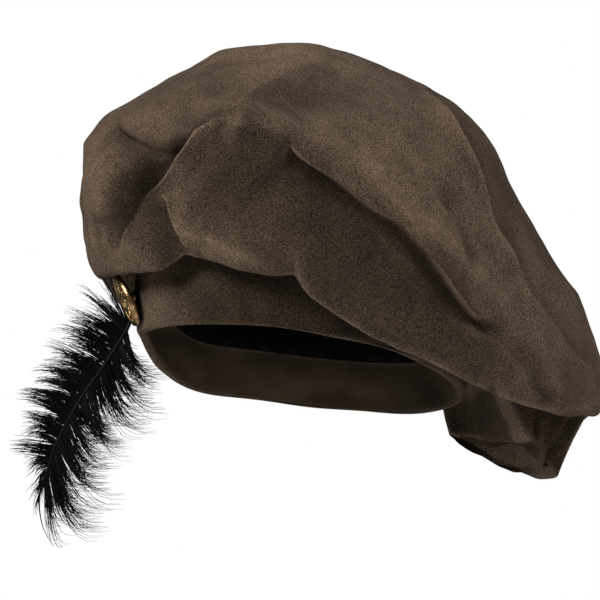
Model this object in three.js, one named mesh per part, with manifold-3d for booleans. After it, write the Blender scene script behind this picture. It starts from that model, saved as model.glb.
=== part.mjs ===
// Soft velvet tam o shanter of the beret kind, with a head band, a gold button and a black plume.
// Millimetres, +Z up. +X is the viewer's right and -Y the front of the hat as it is shown.
// The origin is the centre of the head opening, in the plane of the band's lower edge.

import * as THREE from "three";
import { mergeVertices } from "three/addons/utils/BufferGeometryUtils.js";
import Module from "manifold-3d";

const wasm = await Module();
wasm.setup();

// Head opening: an oval 208 by 168 mm outside, its long axis turned to the front left
const HEAD = { long: 104, short: 84, turn: 22, power: 2.3 };
const RIM_SLOPE = { x: -0.125, y: -0.205 };
const RIM_SAGS = [
  { azimuth: 60, spread: 50, drop: 3 },
  { azimuth: 140, spread: 33, drop: 10 },
  { azimuth: 188, spread: 14, drop: -5 },
];

// Cloth and band sizes
const GAP = 0.3;
const VELVET = 2;
const BAND = { height: 44, wall: 3, bulge: 0.8, lip: 1.2, lipHeight: 1.6 };
const FACING = { top: 27, wall: 1 };
const LINING = { wall: 1, straightTop: 42, domeTop: 106, gatherDepth: 1, gatherEvery: 3, domeRows: 5 };

// Facets round the hat, closer together at the folded front
const SEGMENTS = 66;
const FRONT_CROWDING = 0.5;

// Crown top, left of and behind the middle of the head
const CROWN_TOP = { x: -20, y: 10, z: 176, flatRadius: 38, flatDrop: 5 };
const SEAM_DROP_GUIDE = 10;
const ROWS_PER_SPAN = [3, 4, 4, 3, 2, 2];
const SHOULDER_SPAN = 3;
const HOLLOW_RISE = 0.6;
const LEAN_POWER = 1.5;

// Cross-sections of the crown, one for each azimuth in degrees from +X towards +Y, as [radius, z]:
// belly is the lowest point of the overhang, edge the widest, then shoulder and crest, and hollow is
// how far the cloth falls in between those two
const CROWN_SECTIONS = [
  { azimuth: 0, belly: [152, -19], edge: [160, -11], shoulder: [151, 38], crest: [99, 136], hollow: 8 },
  { azimuth: 3, belly: [150, -22], edge: [158, -14], shoulder: [150, 38], crest: [99, 137], hollow: 8 },
  { azimuth: 4.5, belly: [141, -27], edge: [156, -17], shoulder: [149, 39], crest: [99, 137], hollow: 8 },
  { azimuth: 6, belly: [138, -55], edge: [143, -40], shoulder: [146, 40], crest: [99, 138], hollow: 8 },
  { azimuth: 14, belly: [138, -59], edge: [145, -40], shoulder: [142, 41], crest: [99, 138], hollow: 7 },
  { azimuth: 24, belly: [138, -61], edge: [146, -40], shoulder: [138, 40], crest: [99, 137], hollow: 5 },
  { azimuth: 36, belly: [137, -59], edge: [145, -36], shoulder: [134, 42], crest: [98, 140], hollow: 3 },
  { azimuth: 42, belly: [129, -49], edge: [138, -34], shoulder: [132, 46], crest: [98, 142], hollow: 2 },
  { azimuth: 46, belly: [120, -41], edge: [131, -29], shoulder: [130, 50], crest: [97, 144], hollow: 1 },
  { azimuth: 51, belly: [136, -20], edge: [142, -2], shoulder: [128, 56], crest: [97, 145], hollow: 0 },
  { azimuth: 60, belly: [126, -6], edge: [138, 10], shoulder: [126, 64], crest: [95, 147], hollow: 0 },
  { azimuth: 90, belly: [112, 0], edge: [136, 28], shoulder: [120, 88], crest: [86, 152], hollow: 0 },
  { azimuth: 115, belly: [110, 8], edge: [132, 42], shoulder: [115, 102], crest: [82, 153], hollow: 0 },
  { azimuth: 140, belly: [108, 20], edge: [128, 60], shoulder: [110, 118], crest: [76, 154], hollow: 0 },
  { azimuth: 180, belly: [112, 50], edge: [122, 90], shoulder: [111, 132], crest: [71, 154], hollow: 0 },
  { azimuth: 202, belly: [118, 51], edge: [130, 90], shoulder: [114, 132], crest: [72, 155], hollow: 0 },
  { azimuth: 222, belly: [122, 52], edge: [135, 95], shoulder: [118, 131], crest: [75, 156], hollow: 0 },
  { azimuth: 232, belly: [124, 52], edge: [138, 100], shoulder: [122, 131], crest: [76, 157], hollow: 0 },
  { azimuth: 240, belly: [125, 61], edge: [139, 112], shoulder: [120, 135], crest: [77, 157], hollow: 0 },
  { azimuth: 247, belly: [126, 60], edge: [139, 120], shoulder: [118, 138], crest: [78, 157], hollow: 0 },
  { azimuth: 255, belly: [127, 56], edge: [140, 125], shoulder: [117, 141], crest: [80, 157], hollow: 0 },
  { azimuth: 262, belly: [127, 54], edge: [141, 120], shoulder: [117, 138], crest: [81, 157], hollow: 0 },
  { azimuth: 268, belly: [128, 53], edge: [143, 114], shoulder: [118, 134], crest: [82, 156], hollow: 0 },
  { azimuth: 271, belly: [128, 43], edge: [143, 109], shoulder: [119, 131], crest: [83, 155], hollow: 0 },
  { azimuth: 275, belly: [128, 35], edge: [143, 103], shoulder: [120, 127], crest: [84, 154], hollow: 0 },
  { azimuth: 279, belly: [128, 29], edge: [144, 93], shoulder: [122, 121], crest: [86, 152], hollow: 0 },
  { azimuth: 286, belly: [129, 19], edge: [145, 82], shoulder: [126, 108], crest: [88, 150], hollow: 0 },
  { azimuth: 300, belly: [133, 4], edge: [147, 56], shoulder: [132, 82], crest: [95, 144], hollow: 0 },
  { azimuth: 313, belly: [136, -9], edge: [149, 24], shoulder: [138, 60], crest: [100, 138], hollow: 0 },
  { azimuth: 325, belly: [140, -17], edge: [152, 5], shoulder: [141, 54], crest: [103, 135], hollow: 1 },
  { azimuth: 340, belly: [146, -20], edge: [157, -9], shoulder: [146, 46], crest: [102, 133], hollow: 5 },
  { azimuth: 352, belly: [151, -20], edge: [160, -11], shoulder: [151, 40], crest: [100, 135], hollow: 7 },
];

// Folds on the front, drawn on the front elevation: height is positive on a ridge and negative in
// a valley, reachLeft and reachRight are its widths on the two sides of the path's direction
const FRONT_FOLDS = [
  {
    name: "left ridge",
    height: 8,
    reachLeft: 7,
    reachRight: 20,
    path: [[-103, 53], [-93, 71], [-83, 90], [-69, 111], [-52, 133]],
  },
  {
    name: "left shadow",
    height: -6,
    reachLeft: 8,
    reachRight: 8,
    path: [[-105, 58], [-98, 77], [-90, 95], [-76, 114]],
  },
  {
    name: "brow valley",
    height: -9,
    reachLeft: 8,
    reachRight: 9,
    path: [[-112, 137], [-102, 133], [-87, 126], [-65, 121]],
  },
  {
    name: "long ridge",
    height: 6,
    reachLeft: 9,
    reachRight: 16,
    path: [[-57, 131], [-40, 136], [-22, 127], [4, 112], [30, 93], [67, 66], [99, 26]],
  },
  {
    name: "lobe pinch",
    height: -7,
    reachLeft: 9,
    reachRight: 6,
    path: [[-80, 100], [-75, 93], [-64, 70], [-58, 62]],
  },
  {
    name: "top ridge",
    height: 4,
    reachLeft: 20,
    reachRight: 11,
    path: [[-45, 134], [-18, 153], [9, 166], [23, 171]],
  },
  {
    name: "right ridge",
    height: 5,
    reachLeft: 13,
    reachRight: 10,
    path: [[50, 162], [75, 147], [90, 122], [110, 70], [125, 17], [134, -9]],
  },
];
const FOLD_FADE = 0.22;
const FOLD_SOFTNESS = 1.3;
const FOLD_LIMITS = { backY: 60, backFade: 40, topFade: 1, seamFade: 1, sideways: 0.15, turnFade: 0.4 };
const EYE = { x: -1.6, z: 37.4, distance: 1600 };

// Button: a bevelled disc with a beaded rim and a plain domed boss, face down and to the left
const BUTTON = { azimuth: 208, bandHeight: 16.3, standOff: 7.6, radius: 15, thickness: 3.4, sides: 28 };
const BUTTON_FACE = { lean: 24, turn: 12 };
const SHANK = { radius: 2.6, length: 4.6, sunk: 0.2, sides: 10 };
const BUTTON_BEADS = { count: 16, radius: 1.2, ring: 12, rise: 0.3 };

// Outline of the button's front: in is the distance from its edge and rise the height over its face
const BUTTON_FRONT = [
  { in: 0.8, rise: 0 },
  { in: 2, rise: 0.5 },
  { in: 4.2, rise: -0.3 },
  { in: 7, rise: 0.2 },
  { in: 10, rise: 1.7 },
];
const BUTTON_BACK = { edge: 1.4, flat: 1.6 };
const BUTTON_DOME = 2.4;

// Plume: the quill hangs from the band behind the button, x, y, z in mm
const QUILL = { azimuth: 190, bandHeight: 24, rootOut: 1.8 };
const SHAFT = { rootRadius: 1.3, tipRadius: 0.8, sides: 6, steps: 16 };
const QUILL_PATH = [
  [-94, -23, 25],
  [-106, -25, 8],
  [-114, -26, -6],
  [-124, -27, -24],
  [-134, -28, -39],
  [-141, -29, -61],
];
const LOCKS = { perSide: 10, firstLeft: 0.16, firstRight: 0.32, last: 0.88 };
const LOCK = { width: 6.5, thickness: 2.8, sides: 5, steps: 4, stagger: 4, sagLeft: -3, sagRight: 5 };
const LOCK_SWELL = { lead: 0.08, place: 0.8, roundness: 0.6 };

// Tip of a lock relative to its root on the quill, along the quill from the band to the tip
const LOCK_REACH = [
  { along: 0.16, leftX: -20, leftZ: 20, rightX: 18, rightZ: -22 },
  { along: 0.40, leftX: -30, leftZ: 24, rightX: 28, rightZ: -24 },
  { along: 0.65, leftX: -27, leftZ: 12, rightX: 29, rightZ: -33 },
  { along: 0.80, leftX: -22, leftZ: -10, rightX: 24, rightZ: -42 },
  { along: 0.88, leftX: -8, leftZ: -36, rightX: 8, rightZ: -53 },
];

const radians = THREE.MathUtils.degToRad;

function azimuthAt(step) {
  const turn = (2 * Math.PI * step) / SEGMENTS;
  return turn - FRONT_CROWDING * Math.cos(turn);
}

// Shape-keeping cubic through the rows of a table, going round at 360 degrees
function roundTable(rows, valueOf, azimuth) {
  const count = rows.length;
  const at = (index) => {
    const turns = Math.floor(index / count);
    const row = rows[index - turns * count];
    return { a: row.azimuth + 360 * turns, value: valueOf(row) };
  };
  const slope = (index) => {
    const before = at(index - 1);
    const here = at(index);
    const after = at(index + 1);
    const spanBefore = here.a - before.a;
    const spanAfter = after.a - here.a;
    const riseBefore = (here.value - before.value) / spanBefore;
    const riseAfter = (after.value - here.value) / spanAfter;
    if (riseBefore * riseAfter <= 0) return 0;
    const weightBefore = 2 * spanAfter + spanBefore;
    const weightAfter = spanAfter + 2 * spanBefore;
    return (weightBefore + weightAfter) / (weightBefore / riseBefore + weightAfter / riseAfter);
  };
  const degrees = THREE.MathUtils.euclideanModulo(THREE.MathUtils.radToDeg(azimuth), 360);
  let index = count - 1;
  while (rows[index].azimuth > degrees) index -= 1;
  const start = at(index);
  const end = at(index + 1);
  const span = end.a - start.a;
  const t = (degrees - start.a) / span;
  const ease = t * t * (3 - 2 * t);
  const leave = t * (1 - t) * (1 - t) * span * slope(index);
  const arrive = t * t * (t - 1) * span * slope(index + 1);
  return start.value * (1 - ease) + end.value * ease + leave + arrive;
}

// Radius and height of the band's lower outer edge
function rimAt(azimuth) {
  const turn = radians(HEAD.turn);
  const cos = Math.cos(azimuth);
  const sin = Math.sin(azimuth);
  const alongLong = Math.abs(Math.sin(turn) * cos + Math.cos(turn) * sin) / HEAD.long;
  const alongShort = Math.abs(Math.cos(turn) * cos - Math.sin(turn) * sin) / HEAD.short;
  const radius = (alongLong ** HEAD.power + alongShort ** HEAD.power) ** (-1 / HEAD.power);
  let height = radius * (RIM_SLOPE.x * cos + RIM_SLOPE.y * sin);
  for (const sag of RIM_SAGS) {
    const turned = azimuth - radians(sag.azimuth);
    const away = Math.atan2(Math.sin(turned), Math.cos(turned));
    height -= sag.drop * Math.exp(-((away / radians(sag.spread)) ** 2));
  }
  return { radius, height };
}

// Point at a distance out from the band's outer face and a height above its lower edge
function bandPoint(azimuth, out, up) {
  const rim = rimAt(azimuth);
  const radius = rim.radius + out;
  return new THREE.Vector3(radius * Math.cos(azimuth), radius * Math.sin(azimuth), rim.height + up);
}

function spline(before, start, end, after, t) {
  const linear = end - before;
  const square = 2 * before - 5 * start + 4 * end - after;
  const cube = after - before + 3 * (start - end);
  return start + 0.5 * t * (linear + t * (square + t * cube));
}

// The crown's smooth form: span runs from 0 at the seam to the number of spans at the top
function crownForm(azimuth, span) {
  const column = (key) => ({
    r: roundTable(CROWN_SECTIONS, (row) => row[key][0], azimuth),
    z: roundTable(CROWN_SECTIONS, (row) => row[key][1], azimuth),
  });
  const rim = rimAt(azimuth);
  const seam = { r: rim.radius + GAP, z: rim.height + BAND.height + GAP };
  const section = [
    { r: seam.r - SEAM_DROP_GUIDE, z: seam.z + SEAM_DROP_GUIDE },
    seam,
    column("belly"),
    column("edge"),
    column("shoulder"),
    column("crest"),
    { r: CROWN_TOP.flatRadius, z: CROWN_TOP.z - CROWN_TOP.flatDrop },
    { r: 0, z: CROWN_TOP.z },
    { r: -CROWN_TOP.flatRadius, z: CROWN_TOP.z - CROWN_TOP.flatDrop },
  ];
  const spans = ROWS_PER_SPAN.length;
  const first = Math.min(Math.floor(span), spans - 1);
  const t = span - first;
  const [a, b, c, d] = section.slice(first, first + 4);
  const hollow = roundTable(CROWN_SECTIONS, (row) => row.hollow, azimuth);
  const fallIn = first === SHOULDER_SPAN ? hollow * Math.sin(Math.PI * t ** HOLLOW_RISE) ** 2 : 0;
  const radius = spline(a.r, b.r, c.r, d.r, t) - fallIn;
  const lean = Math.max(0, (2 * span) / spans - 1) ** LEAN_POWER;
  return new THREE.Vector3(
    radius * Math.cos(azimuth) + CROWN_TOP.x * lean,
    radius * Math.sin(azimuth) + CROWN_TOP.y * lean,
    spline(a.z, b.z, c.z, d.z, t),
  );
}

function outward(surface, azimuth, span) {
  const step = 0.01;
  const top = ROWS_PER_SPAN.length;
  if (span >= top) return new THREE.Vector3(0, 0, 1);
  const across = surface(azimuth + step, span).sub(surface(azimuth - step, span));
  const up = surface(azimuth, Math.min(span + step, top)).sub(surface(azimuth, Math.max(span - step, 0)));
  return across.cross(up).normalize();
}

// Height of one fold at a place on the front elevation
function foldHeight(fold, place) {
  let nearest = { distance: Infinity, left: true, along: 0 };
  const points = fold.path.map(([x, z]) => new THREE.Vector2(x, z));
  for (let i = 0; i + 1 < points.length; i += 1) {
    const run = points[i + 1].clone().sub(points[i]);
    const offset = place.clone().sub(points[i]);
    const t = THREE.MathUtils.clamp(offset.dot(run) / run.lengthSq(), 0, 1);
    const distance = offset.clone().sub(run.clone().multiplyScalar(t)).length();
    if (distance < nearest.distance) {
      nearest = { distance, left: run.cross(offset) > 0, along: (i + t) / (points.length - 1) };
    }
  }
  const reach = nearest.left ? fold.reachLeft : fold.reachRight;
  const fade = THREE.MathUtils.smoothstep(Math.min(nearest.along, 1 - nearest.along), 0, FOLD_FADE);
  return fold.height * fade * Math.exp(-((nearest.distance / reach) ** FOLD_SOFTNESS));
}

// The crown's cloth with its folds, and a depth below its outer face
function crownPoint(azimuth, span, depth) {
  const point = crownForm(azimuth, span);
  const normal = outward(crownForm, azimuth, span);
  const clamp01 = (value) => THREE.MathUtils.clamp(value, 0, 1);
  const facing = clamp01((FOLD_LIMITS.sideways - normal.y) / FOLD_LIMITS.turnFade)
    * clamp01((FOLD_LIMITS.backY - point.y) / FOLD_LIMITS.backFade)
    * clamp01((ROWS_PER_SPAN.length - span) / FOLD_LIMITS.topFade)
    * clamp01(span / FOLD_LIMITS.seamFade) ** 2;
  const scale = EYE.distance / (EYE.distance + point.y);
  const place = new THREE.Vector2(EYE.x + (point.x - EYE.x) * scale, EYE.z + (point.z - EYE.z) * scale);
  const height = FRONT_FOLDS.reduce((sum, fold) => sum + foldHeight(fold, place), 0);
  return point.addScaledVector(normal, facing * height - depth);
}

// A lathe turned round the axis, its rows then laid where place(step, row) says
function shapedLathe(rowCount, segments, closed, place) {
  const profile = [];
  for (let row = 0; row < rowCount; row += 1) {
    const turn = (Math.PI * row) / (rowCount - 1);
    profile.push(new THREE.Vector2(closed ? 2 : Math.sin(turn), -Math.cos(turn)));
  }
  const geometry = new THREE.LatheGeometry(profile, segments);
  const positions = geometry.getAttribute("position");
  for (let step = 0; step <= segments; step += 1) {
    for (let row = 0; row < rowCount; row += 1) {
      const point = place(step % segments, row);
      positions.setXYZ(step * rowCount + row, point.x, point.y, point.z);
    }
  }
  return weld(geometry);
}

function weld(geometry) {
  geometry.deleteAttribute("normal");
  geometry.deleteAttribute("uv");
  const welded = mergeVertices(geometry, 1e-4);
  const index = welded.getIndex();
  const kept = [];
  for (let i = 0; i < index.count; i += 3) {
    const [a, b, c] = [index.getX(i), index.getX(i + 1), index.getX(i + 2)];
    if (a !== b && b !== c && c !== a) kept.push(a, b, c);
  }
  welded.setIndex(kept);
  welded.computeVertexNormals();
  return welded;
}

// A ring with the head opening's outline: corners are { out, up } from the band's lower outer edge
function ringRoundHead(corners) {
  const loop = [...corners, corners[0]];
  return shapedLathe(loop.length, SEGMENTS, true, (step, row) => {
    const { out, up } = loop[row];
    return bandPoint(azimuthAt(step), out, up);
  });
}

function crownGeometry() {
  const spans = [];
  ROWS_PER_SPAN.forEach((rows, span) => {
    for (let row = 0; row < rows; row += 1) spans.push(span + row / rows);
  });
  spans.push(ROWS_PER_SPAN.length);
  const inner = spans.map((span) => ({ span, depth: VELVET })).reverse();
  const outer = spans.map((span) => ({ span, depth: 0 }));
  const rows = [...inner, ...outer];
  return shapedLathe(rows.length, SEGMENTS, false, (step, row) => {
    const { span, depth } = rows[row];
    return crownPoint(azimuthAt(step), span, depth);
  });
}

function bandGeometry() {
  const { height, wall, bulge, lip, lipHeight } = BAND;
  return ringRoundHead([
    { out: 0, up: 0 },
    { out: bulge, up: height / 2 },
    { out: 0, up: height },
    { out: -wall, up: height },
    { out: -wall, up: lipHeight },
    { out: -wall - lip, up: lipHeight },
    { out: -wall - lip, up: 0 },
  ]);
}

function facingGeometry() {
  const outer = -BAND.wall - GAP;
  const inner = outer - FACING.wall;
  const bottom = BAND.lipHeight + GAP;
  return ringRoundHead([
    { out: outer, up: bottom },
    { out: outer, up: FACING.top },
    { out: inner, up: FACING.top },
    { out: inner, up: bottom },
  ]);
}

// The lining stands on the facing, runs up inside the band and closes as a gathered dome
function liningGeometry() {
  const levels = [
    { up: FACING.top + GAP, dome: 0 },
    { up: LINING.straightTop, dome: 0 },
  ];
  for (let row = 1; row <= LINING.domeRows; row += 1) {
    levels.push({ up: LINING.straightTop, dome: row / LINING.domeRows });
  }
  const inner = levels.map((level) => ({ ...level, depth: LINING.wall })).reverse();
  const outer = levels.map((level) => ({ ...level, depth: 0 }));
  const rows = [...inner, ...outer];
  return shapedLathe(rows.length, SEGMENTS, false, (step, row) => {
    const { up, dome, depth } = rows[row];
    const azimuth = azimuthAt(step);
    const bend = (Math.PI / 2) * dome;
    const gather = step % LINING.gatherEvery === 0 ? 0 : LINING.gatherDepth * Math.cos(bend);
    const foot = bandPoint(azimuth, -BAND.wall - GAP - gather - depth, up);
    const top = LINING.domeTop - depth;
    const across = Math.cos(bend);
    return new THREE.Vector3(
      dome === 1 ? 0 : foot.x * across,
      dome === 1 ? 0 : foot.y * across,
      THREE.MathUtils.lerp(foot.z, top, Math.sin(bend)),
    );
  });
}

function toManifold(geometry) {
  const position = geometry.getAttribute("position");
  return new wasm.Manifold(new wasm.Mesh({
    numProp: 3,
    vertProperties: new Float32Array(position.array),
    triVerts: new Uint32Array(geometry.getIndex().array),
  }));
}

function fuse(geometries) {
  const joined = geometries.map(toManifold).reduce((sum, solid) => sum.add(solid));
  const mesh = joined.getMesh();
  const geometry = new THREE.BufferGeometry();
  geometry.setAttribute("position", new THREE.BufferAttribute(new Float32Array(mesh.vertProperties), 3));
  geometry.setIndex(new THREE.BufferAttribute(new Uint32Array(mesh.triVerts), 1));
  geometry.computeVertexNormals();
  return geometry;
}

// The button about its own axis: face towards +Y of its lathe, shank behind
function buttonGeometry() {
  const { radius, thickness } = BUTTON;
  const half = thickness / 2;
  const disc = new THREE.LatheGeometry([
    new THREE.Vector2(0, -half),
    new THREE.Vector2(radius - BUTTON_BACK.flat, -half),
    new THREE.Vector2(radius, -half + BUTTON_BACK.edge),
    ...BUTTON_FRONT.map((row) => new THREE.Vector2(radius - row.in, half + row.rise)),
    new THREE.Vector2(0, half + BUTTON_DOME),
  ], BUTTON.sides);
  const shank = new THREE.CylinderGeometry(SHANK.radius, SHANK.radius, SHANK.length, SHANK.sides);
  shank.translate(0, SHANK.sunk - half - SHANK.length / 2, 0);
  const beads = [];
  for (let bead = 0; bead < BUTTON_BEADS.count; bead += 1) {
    const turn = (2 * Math.PI * bead) / BUTTON_BEADS.count;
    const ball = new THREE.SphereGeometry(BUTTON_BEADS.radius, 6, 4);
    const out = BUTTON_BEADS.ring;
    ball.translate(out * Math.cos(turn), half + BUTTON_BEADS.rise, out * Math.sin(turn));
    beads.push(ball);
  }
  return fuse([disc, shank, ...beads].map(weld));
}

// A tapering solid along a curve, flattened across the plume
function taperedStrand(curve, sides, steps, widthAt, thicknessAt) {
  return shapedLathe(steps + 1, sides, false, (step, row) => {
    const t = row / steps;
    const centre = curve.getPoint(t);
    const along = curve.getTangent(t);
    const across = new THREE.Vector3(0, -1, 0).cross(along).normalize();
    const depth = along.clone().cross(across);
    const turn = (2 * Math.PI * step) / sides;
    return centre
      .addScaledVector(across, widthAt(t) * Math.cos(turn))
      .addScaledVector(depth, thicknessAt(t) * Math.sin(turn));
  });
}

function lockReach(along, key) {
  const next = Math.max(1, LOCK_REACH.findIndex((row) => row.along >= along));
  const start = LOCK_REACH[next - 1];
  const end = LOCK_REACH[next];
  return THREE.MathUtils.mapLinear(along, start.along, end.along, start[key], end[key]);
}

function plumeGeometry() {
  const root = bandPoint(radians(QUILL.azimuth), QUILL.rootOut, QUILL.bandHeight);
  const points = QUILL_PATH.map(([x, y, z]) => new THREE.Vector3(x, y, z));
  const quillCurve = new THREE.CatmullRomCurve3([root, ...points]);
  const ends = (t) => (t === 0 || t === 1 ? 0 : 1);
  const quillRadius = (t) => ends(t) * THREE.MathUtils.lerp(SHAFT.rootRadius, SHAFT.tipRadius, t);
  const quill = taperedStrand(quillCurve, SHAFT.sides, SHAFT.steps, quillRadius, quillRadius);
  const locks = [];
  for (const side of ["left", "right"]) {
    const first = side === "left" ? LOCKS.firstLeft : LOCKS.firstRight;
    for (let lock = 0; lock < LOCKS.perSide; lock += 1) {
      const along = THREE.MathUtils.lerp(first, LOCKS.last, lock / (LOCKS.perSide - 1));
      const start = quillCurve.getPoint(along);
      const lift = LOCK.stagger * (lock % 2 === 0 ? -1 : 1);
      const reach = new THREE.Vector3(lockReach(along, `${side}X`), lift, lockReach(along, `${side}Z`));
      const tip = start.clone().add(reach);
      const sag = side === "left" ? LOCK.sagLeft : LOCK.sagRight;
      const bend = start.clone().lerp(tip, 0.5).add(new THREE.Vector3(0, lift / 2, sag));
      const curve = new THREE.QuadraticBezierCurve3(start, bend, tip);
      const { lead, place, roundness } = LOCK_SWELL;
      const swell = (t) => Math.sin(Math.PI * Math.min(1, t + lead) ** place) ** roundness;
      const shape = (t) => ends(t) * swell(t);
      const width = (t) => LOCK.width * shape(t);
      const thickness = (t) => LOCK.thickness * shape(t);
      locks.push(taperedStrand(curve, LOCK.sides, LOCK.steps, width, thickness));
    }
  }
  return fuse([quill, ...locks]);
}

function piece(name, geometry, colour, roughness, metalness) {
  const material = new THREE.MeshStandardMaterial({ color: colour, roughness, metalness });
  const mesh = new THREE.Mesh(geometry, material);
  mesh.name = name;
  return mesh;
}

// The button's place: its axis leans down and turns a little to the front
function placeButton(button) {
  const azimuth = radians(BUTTON.azimuth);
  const face = new THREE.Vector3(-1, 0, 0);
  face.applyAxisAngle(new THREE.Vector3(0, 1, 0), -radians(BUTTON_FACE.lean));
  face.applyAxisAngle(new THREE.Vector3(0, 0, 1), radians(BUTTON_FACE.turn));
  button.quaternion.setFromUnitVectors(new THREE.Vector3(0, 1, 0), face);
  button.position.copy(bandPoint(azimuth, BUTTON.standOff, BUTTON.bandHeight));
}

const hat = new THREE.Group();
hat.add(piece("crown", crownGeometry(), 0x4a3b2f, 0.95, 0));
hat.add(piece("band", bandGeometry(), 0x46382c, 0.95, 0));
hat.add(piece("inner_band", facingGeometry(), 0x33281f, 0.45, 0));
hat.add(piece("lining", liningGeometry(), 0x14110f, 0.6, 0));
const button = piece("button", buttonGeometry(), 0xb08a4c, 0.3, 1);
placeButton(button);
hat.add(button);
hat.add(piece("plume", plumeGeometry(), 0x0b0b0c, 0.7, 0));

export default hat;
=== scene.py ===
"""Soft velvet tam o shanter with a head band, a gold button and a black plume.

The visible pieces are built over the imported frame. Shapes are worked out in millimetres and laid
down in metres. +X is the viewer's right, -Y the front and +Z up, and the origin is the centre of
the head opening.
"""
import logging
import math
from dataclasses import dataclass
from enum import Enum
from typing import Sequence

import bmesh
import bpy
import numpy as np
from mathutils import Matrix, Vector


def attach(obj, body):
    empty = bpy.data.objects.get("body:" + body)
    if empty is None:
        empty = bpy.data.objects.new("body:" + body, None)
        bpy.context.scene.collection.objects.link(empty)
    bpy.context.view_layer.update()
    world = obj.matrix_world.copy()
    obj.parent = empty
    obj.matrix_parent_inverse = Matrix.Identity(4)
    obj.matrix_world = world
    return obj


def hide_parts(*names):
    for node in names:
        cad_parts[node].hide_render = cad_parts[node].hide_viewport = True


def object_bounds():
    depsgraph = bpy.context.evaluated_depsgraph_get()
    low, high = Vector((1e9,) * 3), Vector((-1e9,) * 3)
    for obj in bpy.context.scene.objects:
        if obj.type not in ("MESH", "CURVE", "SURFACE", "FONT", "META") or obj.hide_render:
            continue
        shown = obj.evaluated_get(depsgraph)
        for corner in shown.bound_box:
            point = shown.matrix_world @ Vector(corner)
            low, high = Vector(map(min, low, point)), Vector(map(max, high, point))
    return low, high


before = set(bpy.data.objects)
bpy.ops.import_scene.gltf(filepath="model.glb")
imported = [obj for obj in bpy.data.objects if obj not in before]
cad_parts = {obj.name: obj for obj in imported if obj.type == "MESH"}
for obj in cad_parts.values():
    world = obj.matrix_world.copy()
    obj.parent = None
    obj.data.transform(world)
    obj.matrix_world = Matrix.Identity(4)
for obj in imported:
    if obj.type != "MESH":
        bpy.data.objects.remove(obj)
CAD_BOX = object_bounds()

LOG = logging.getLogger("hat")
MM = 0.001
BODY = "root"

EYE_DISTANCE = 1600.0
EYE_X = -1.6
EYE_Z = 37.4
VIEW_WIDTH = 329.7

# Painted light and shade stored on the cloth: NEUTRAL_SHADING leaves the colour as it is, lower values
# paint shade and higher ones paint light.
NEUTRAL_SHADING = 0.5
PAINTED_SHADING_LIMITS = (0.04, 1.0)
PAINTED_SHADING_GAIN = 1.5
PAINTED_SHADING_LOWEST_GAIN = 0.25

Points = Sequence[tuple[float, float]]
Colour = tuple[float, float, float]
Socket = bpy.types.NodeSocket


class Side(Enum):
    """The two sides of the quill, as the viewer sees them."""

    LEFT = "left"
    RIGHT = "right"


def smoothstep(value: np.ndarray, low: float, high: float) -> np.ndarray:
    """Eases from 0 to 1 between low and high.

    Args:
        value: Numbers to ease.
        low: Where the result leaves 0.
        high: Where the result reaches 1.

    Returns:
        The eased numbers.
    """
    t = np.clip((value - low) / (high - low), 0.0, 1.0)
    return t * t * (3.0 - 2.0 * t)


def spline(before: np.ndarray, start: np.ndarray, end: np.ndarray, after: np.ndarray,
           t: np.ndarray) -> np.ndarray:
    """Runs a Catmull-Rom curve from start to end.

    Args:
        before: Point ahead of the start.
        start: Where t is 0.
        end: Where t is 1.
        after: Point past the end.
        t: Place along the curve.

    Returns:
        The point at t.
    """
    linear = end - before
    square = 2 * before - 5 * start + 4 * end - after
    cube = after - before + 3 * (start - end)
    return start + 0.5 * t * (linear + t * (square + t * cube))


def smooth_path(points: Points, steps: int = 8) -> np.ndarray:
    """Rounds a short list of points into a smooth path.

    Args:
        points: Corner points, of any dimension.
        steps: Steps between two corners.

    Returns:
        Points along the path, one row each.
    """
    corners = np.array(points, float)
    corners = np.vstack([2 * corners[0] - corners[1], corners, 2 * corners[-1] - corners[-2]])
    t = np.linspace(0, 1, steps, endpoint=False)[:, None]
    runs = [spline(*corners[i:i + 4], t) for i in range(len(corners) - 3)]
    return np.concatenate(runs + [corners[-2:-1]])


def round_table(azimuths: np.ndarray, values: np.ndarray, azimuth: np.ndarray) -> np.ndarray:
    """Reads a table that goes round at 360 degrees, with a shape-keeping cubic.

    Args:
        azimuths: Degrees of the rows, rising.
        values: One row of columns for each azimuth.
        azimuth: Radians to read at.

    Returns:
        One row of columns for each azimuth asked for.
    """
    x = np.concatenate([azimuths[-2:] - 360, azimuths, azimuths[:2] + 360])
    y = np.concatenate([values[-2:], values, values[:2]])
    span = np.diff(x)[:, None]
    rise = np.diff(y, axis=0) / span
    first, second = rise[:-1], rise[1:]
    weight_first = 2 * span[1:] + span[:-1]
    weight_second = span[1:] + 2 * span[:-1]
    same = first * second > 0
    safe_first, safe_second = np.where(same, first, 1), np.where(same, second, 1)
    weights = weight_first / safe_first + weight_second / safe_second
    mean = (weight_first + weight_second) / weights
    slope = np.zeros_like(y)
    slope[1:-1] = np.where(same, mean, 0)
    degrees = np.degrees(azimuth) % 360
    row = np.searchsorted(x, degrees, side="right") - 1
    length = span[row]
    t = (degrees - x[row])[:, None] / length
    ease = t * t * (3 - 2 * t)
    bend = t * (1 - t) * ((1 - t) * slope[row] - t * slope[row + 1]) * length
    return y[row] * (1 - ease) + y[row + 1] * ease + bend


def front_view(points: np.ndarray) -> np.ndarray:
    """Moves points onto the front elevation as the eye sees them, in mm.

    Args:
        points: Places in the hat's frame, x, y and z last.

    Returns:
        The x and z where each point shows on the plane through the head opening's centre.
    """
    scale = EYE_DISTANCE / (EYE_DISTANCE + points[..., 1])
    x = EYE_X + (points[..., 0] - EYE_X) * scale
    z = EYE_Z + (points[..., 2] - EYE_Z) * scale
    return np.stack([x, z], -1)


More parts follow.
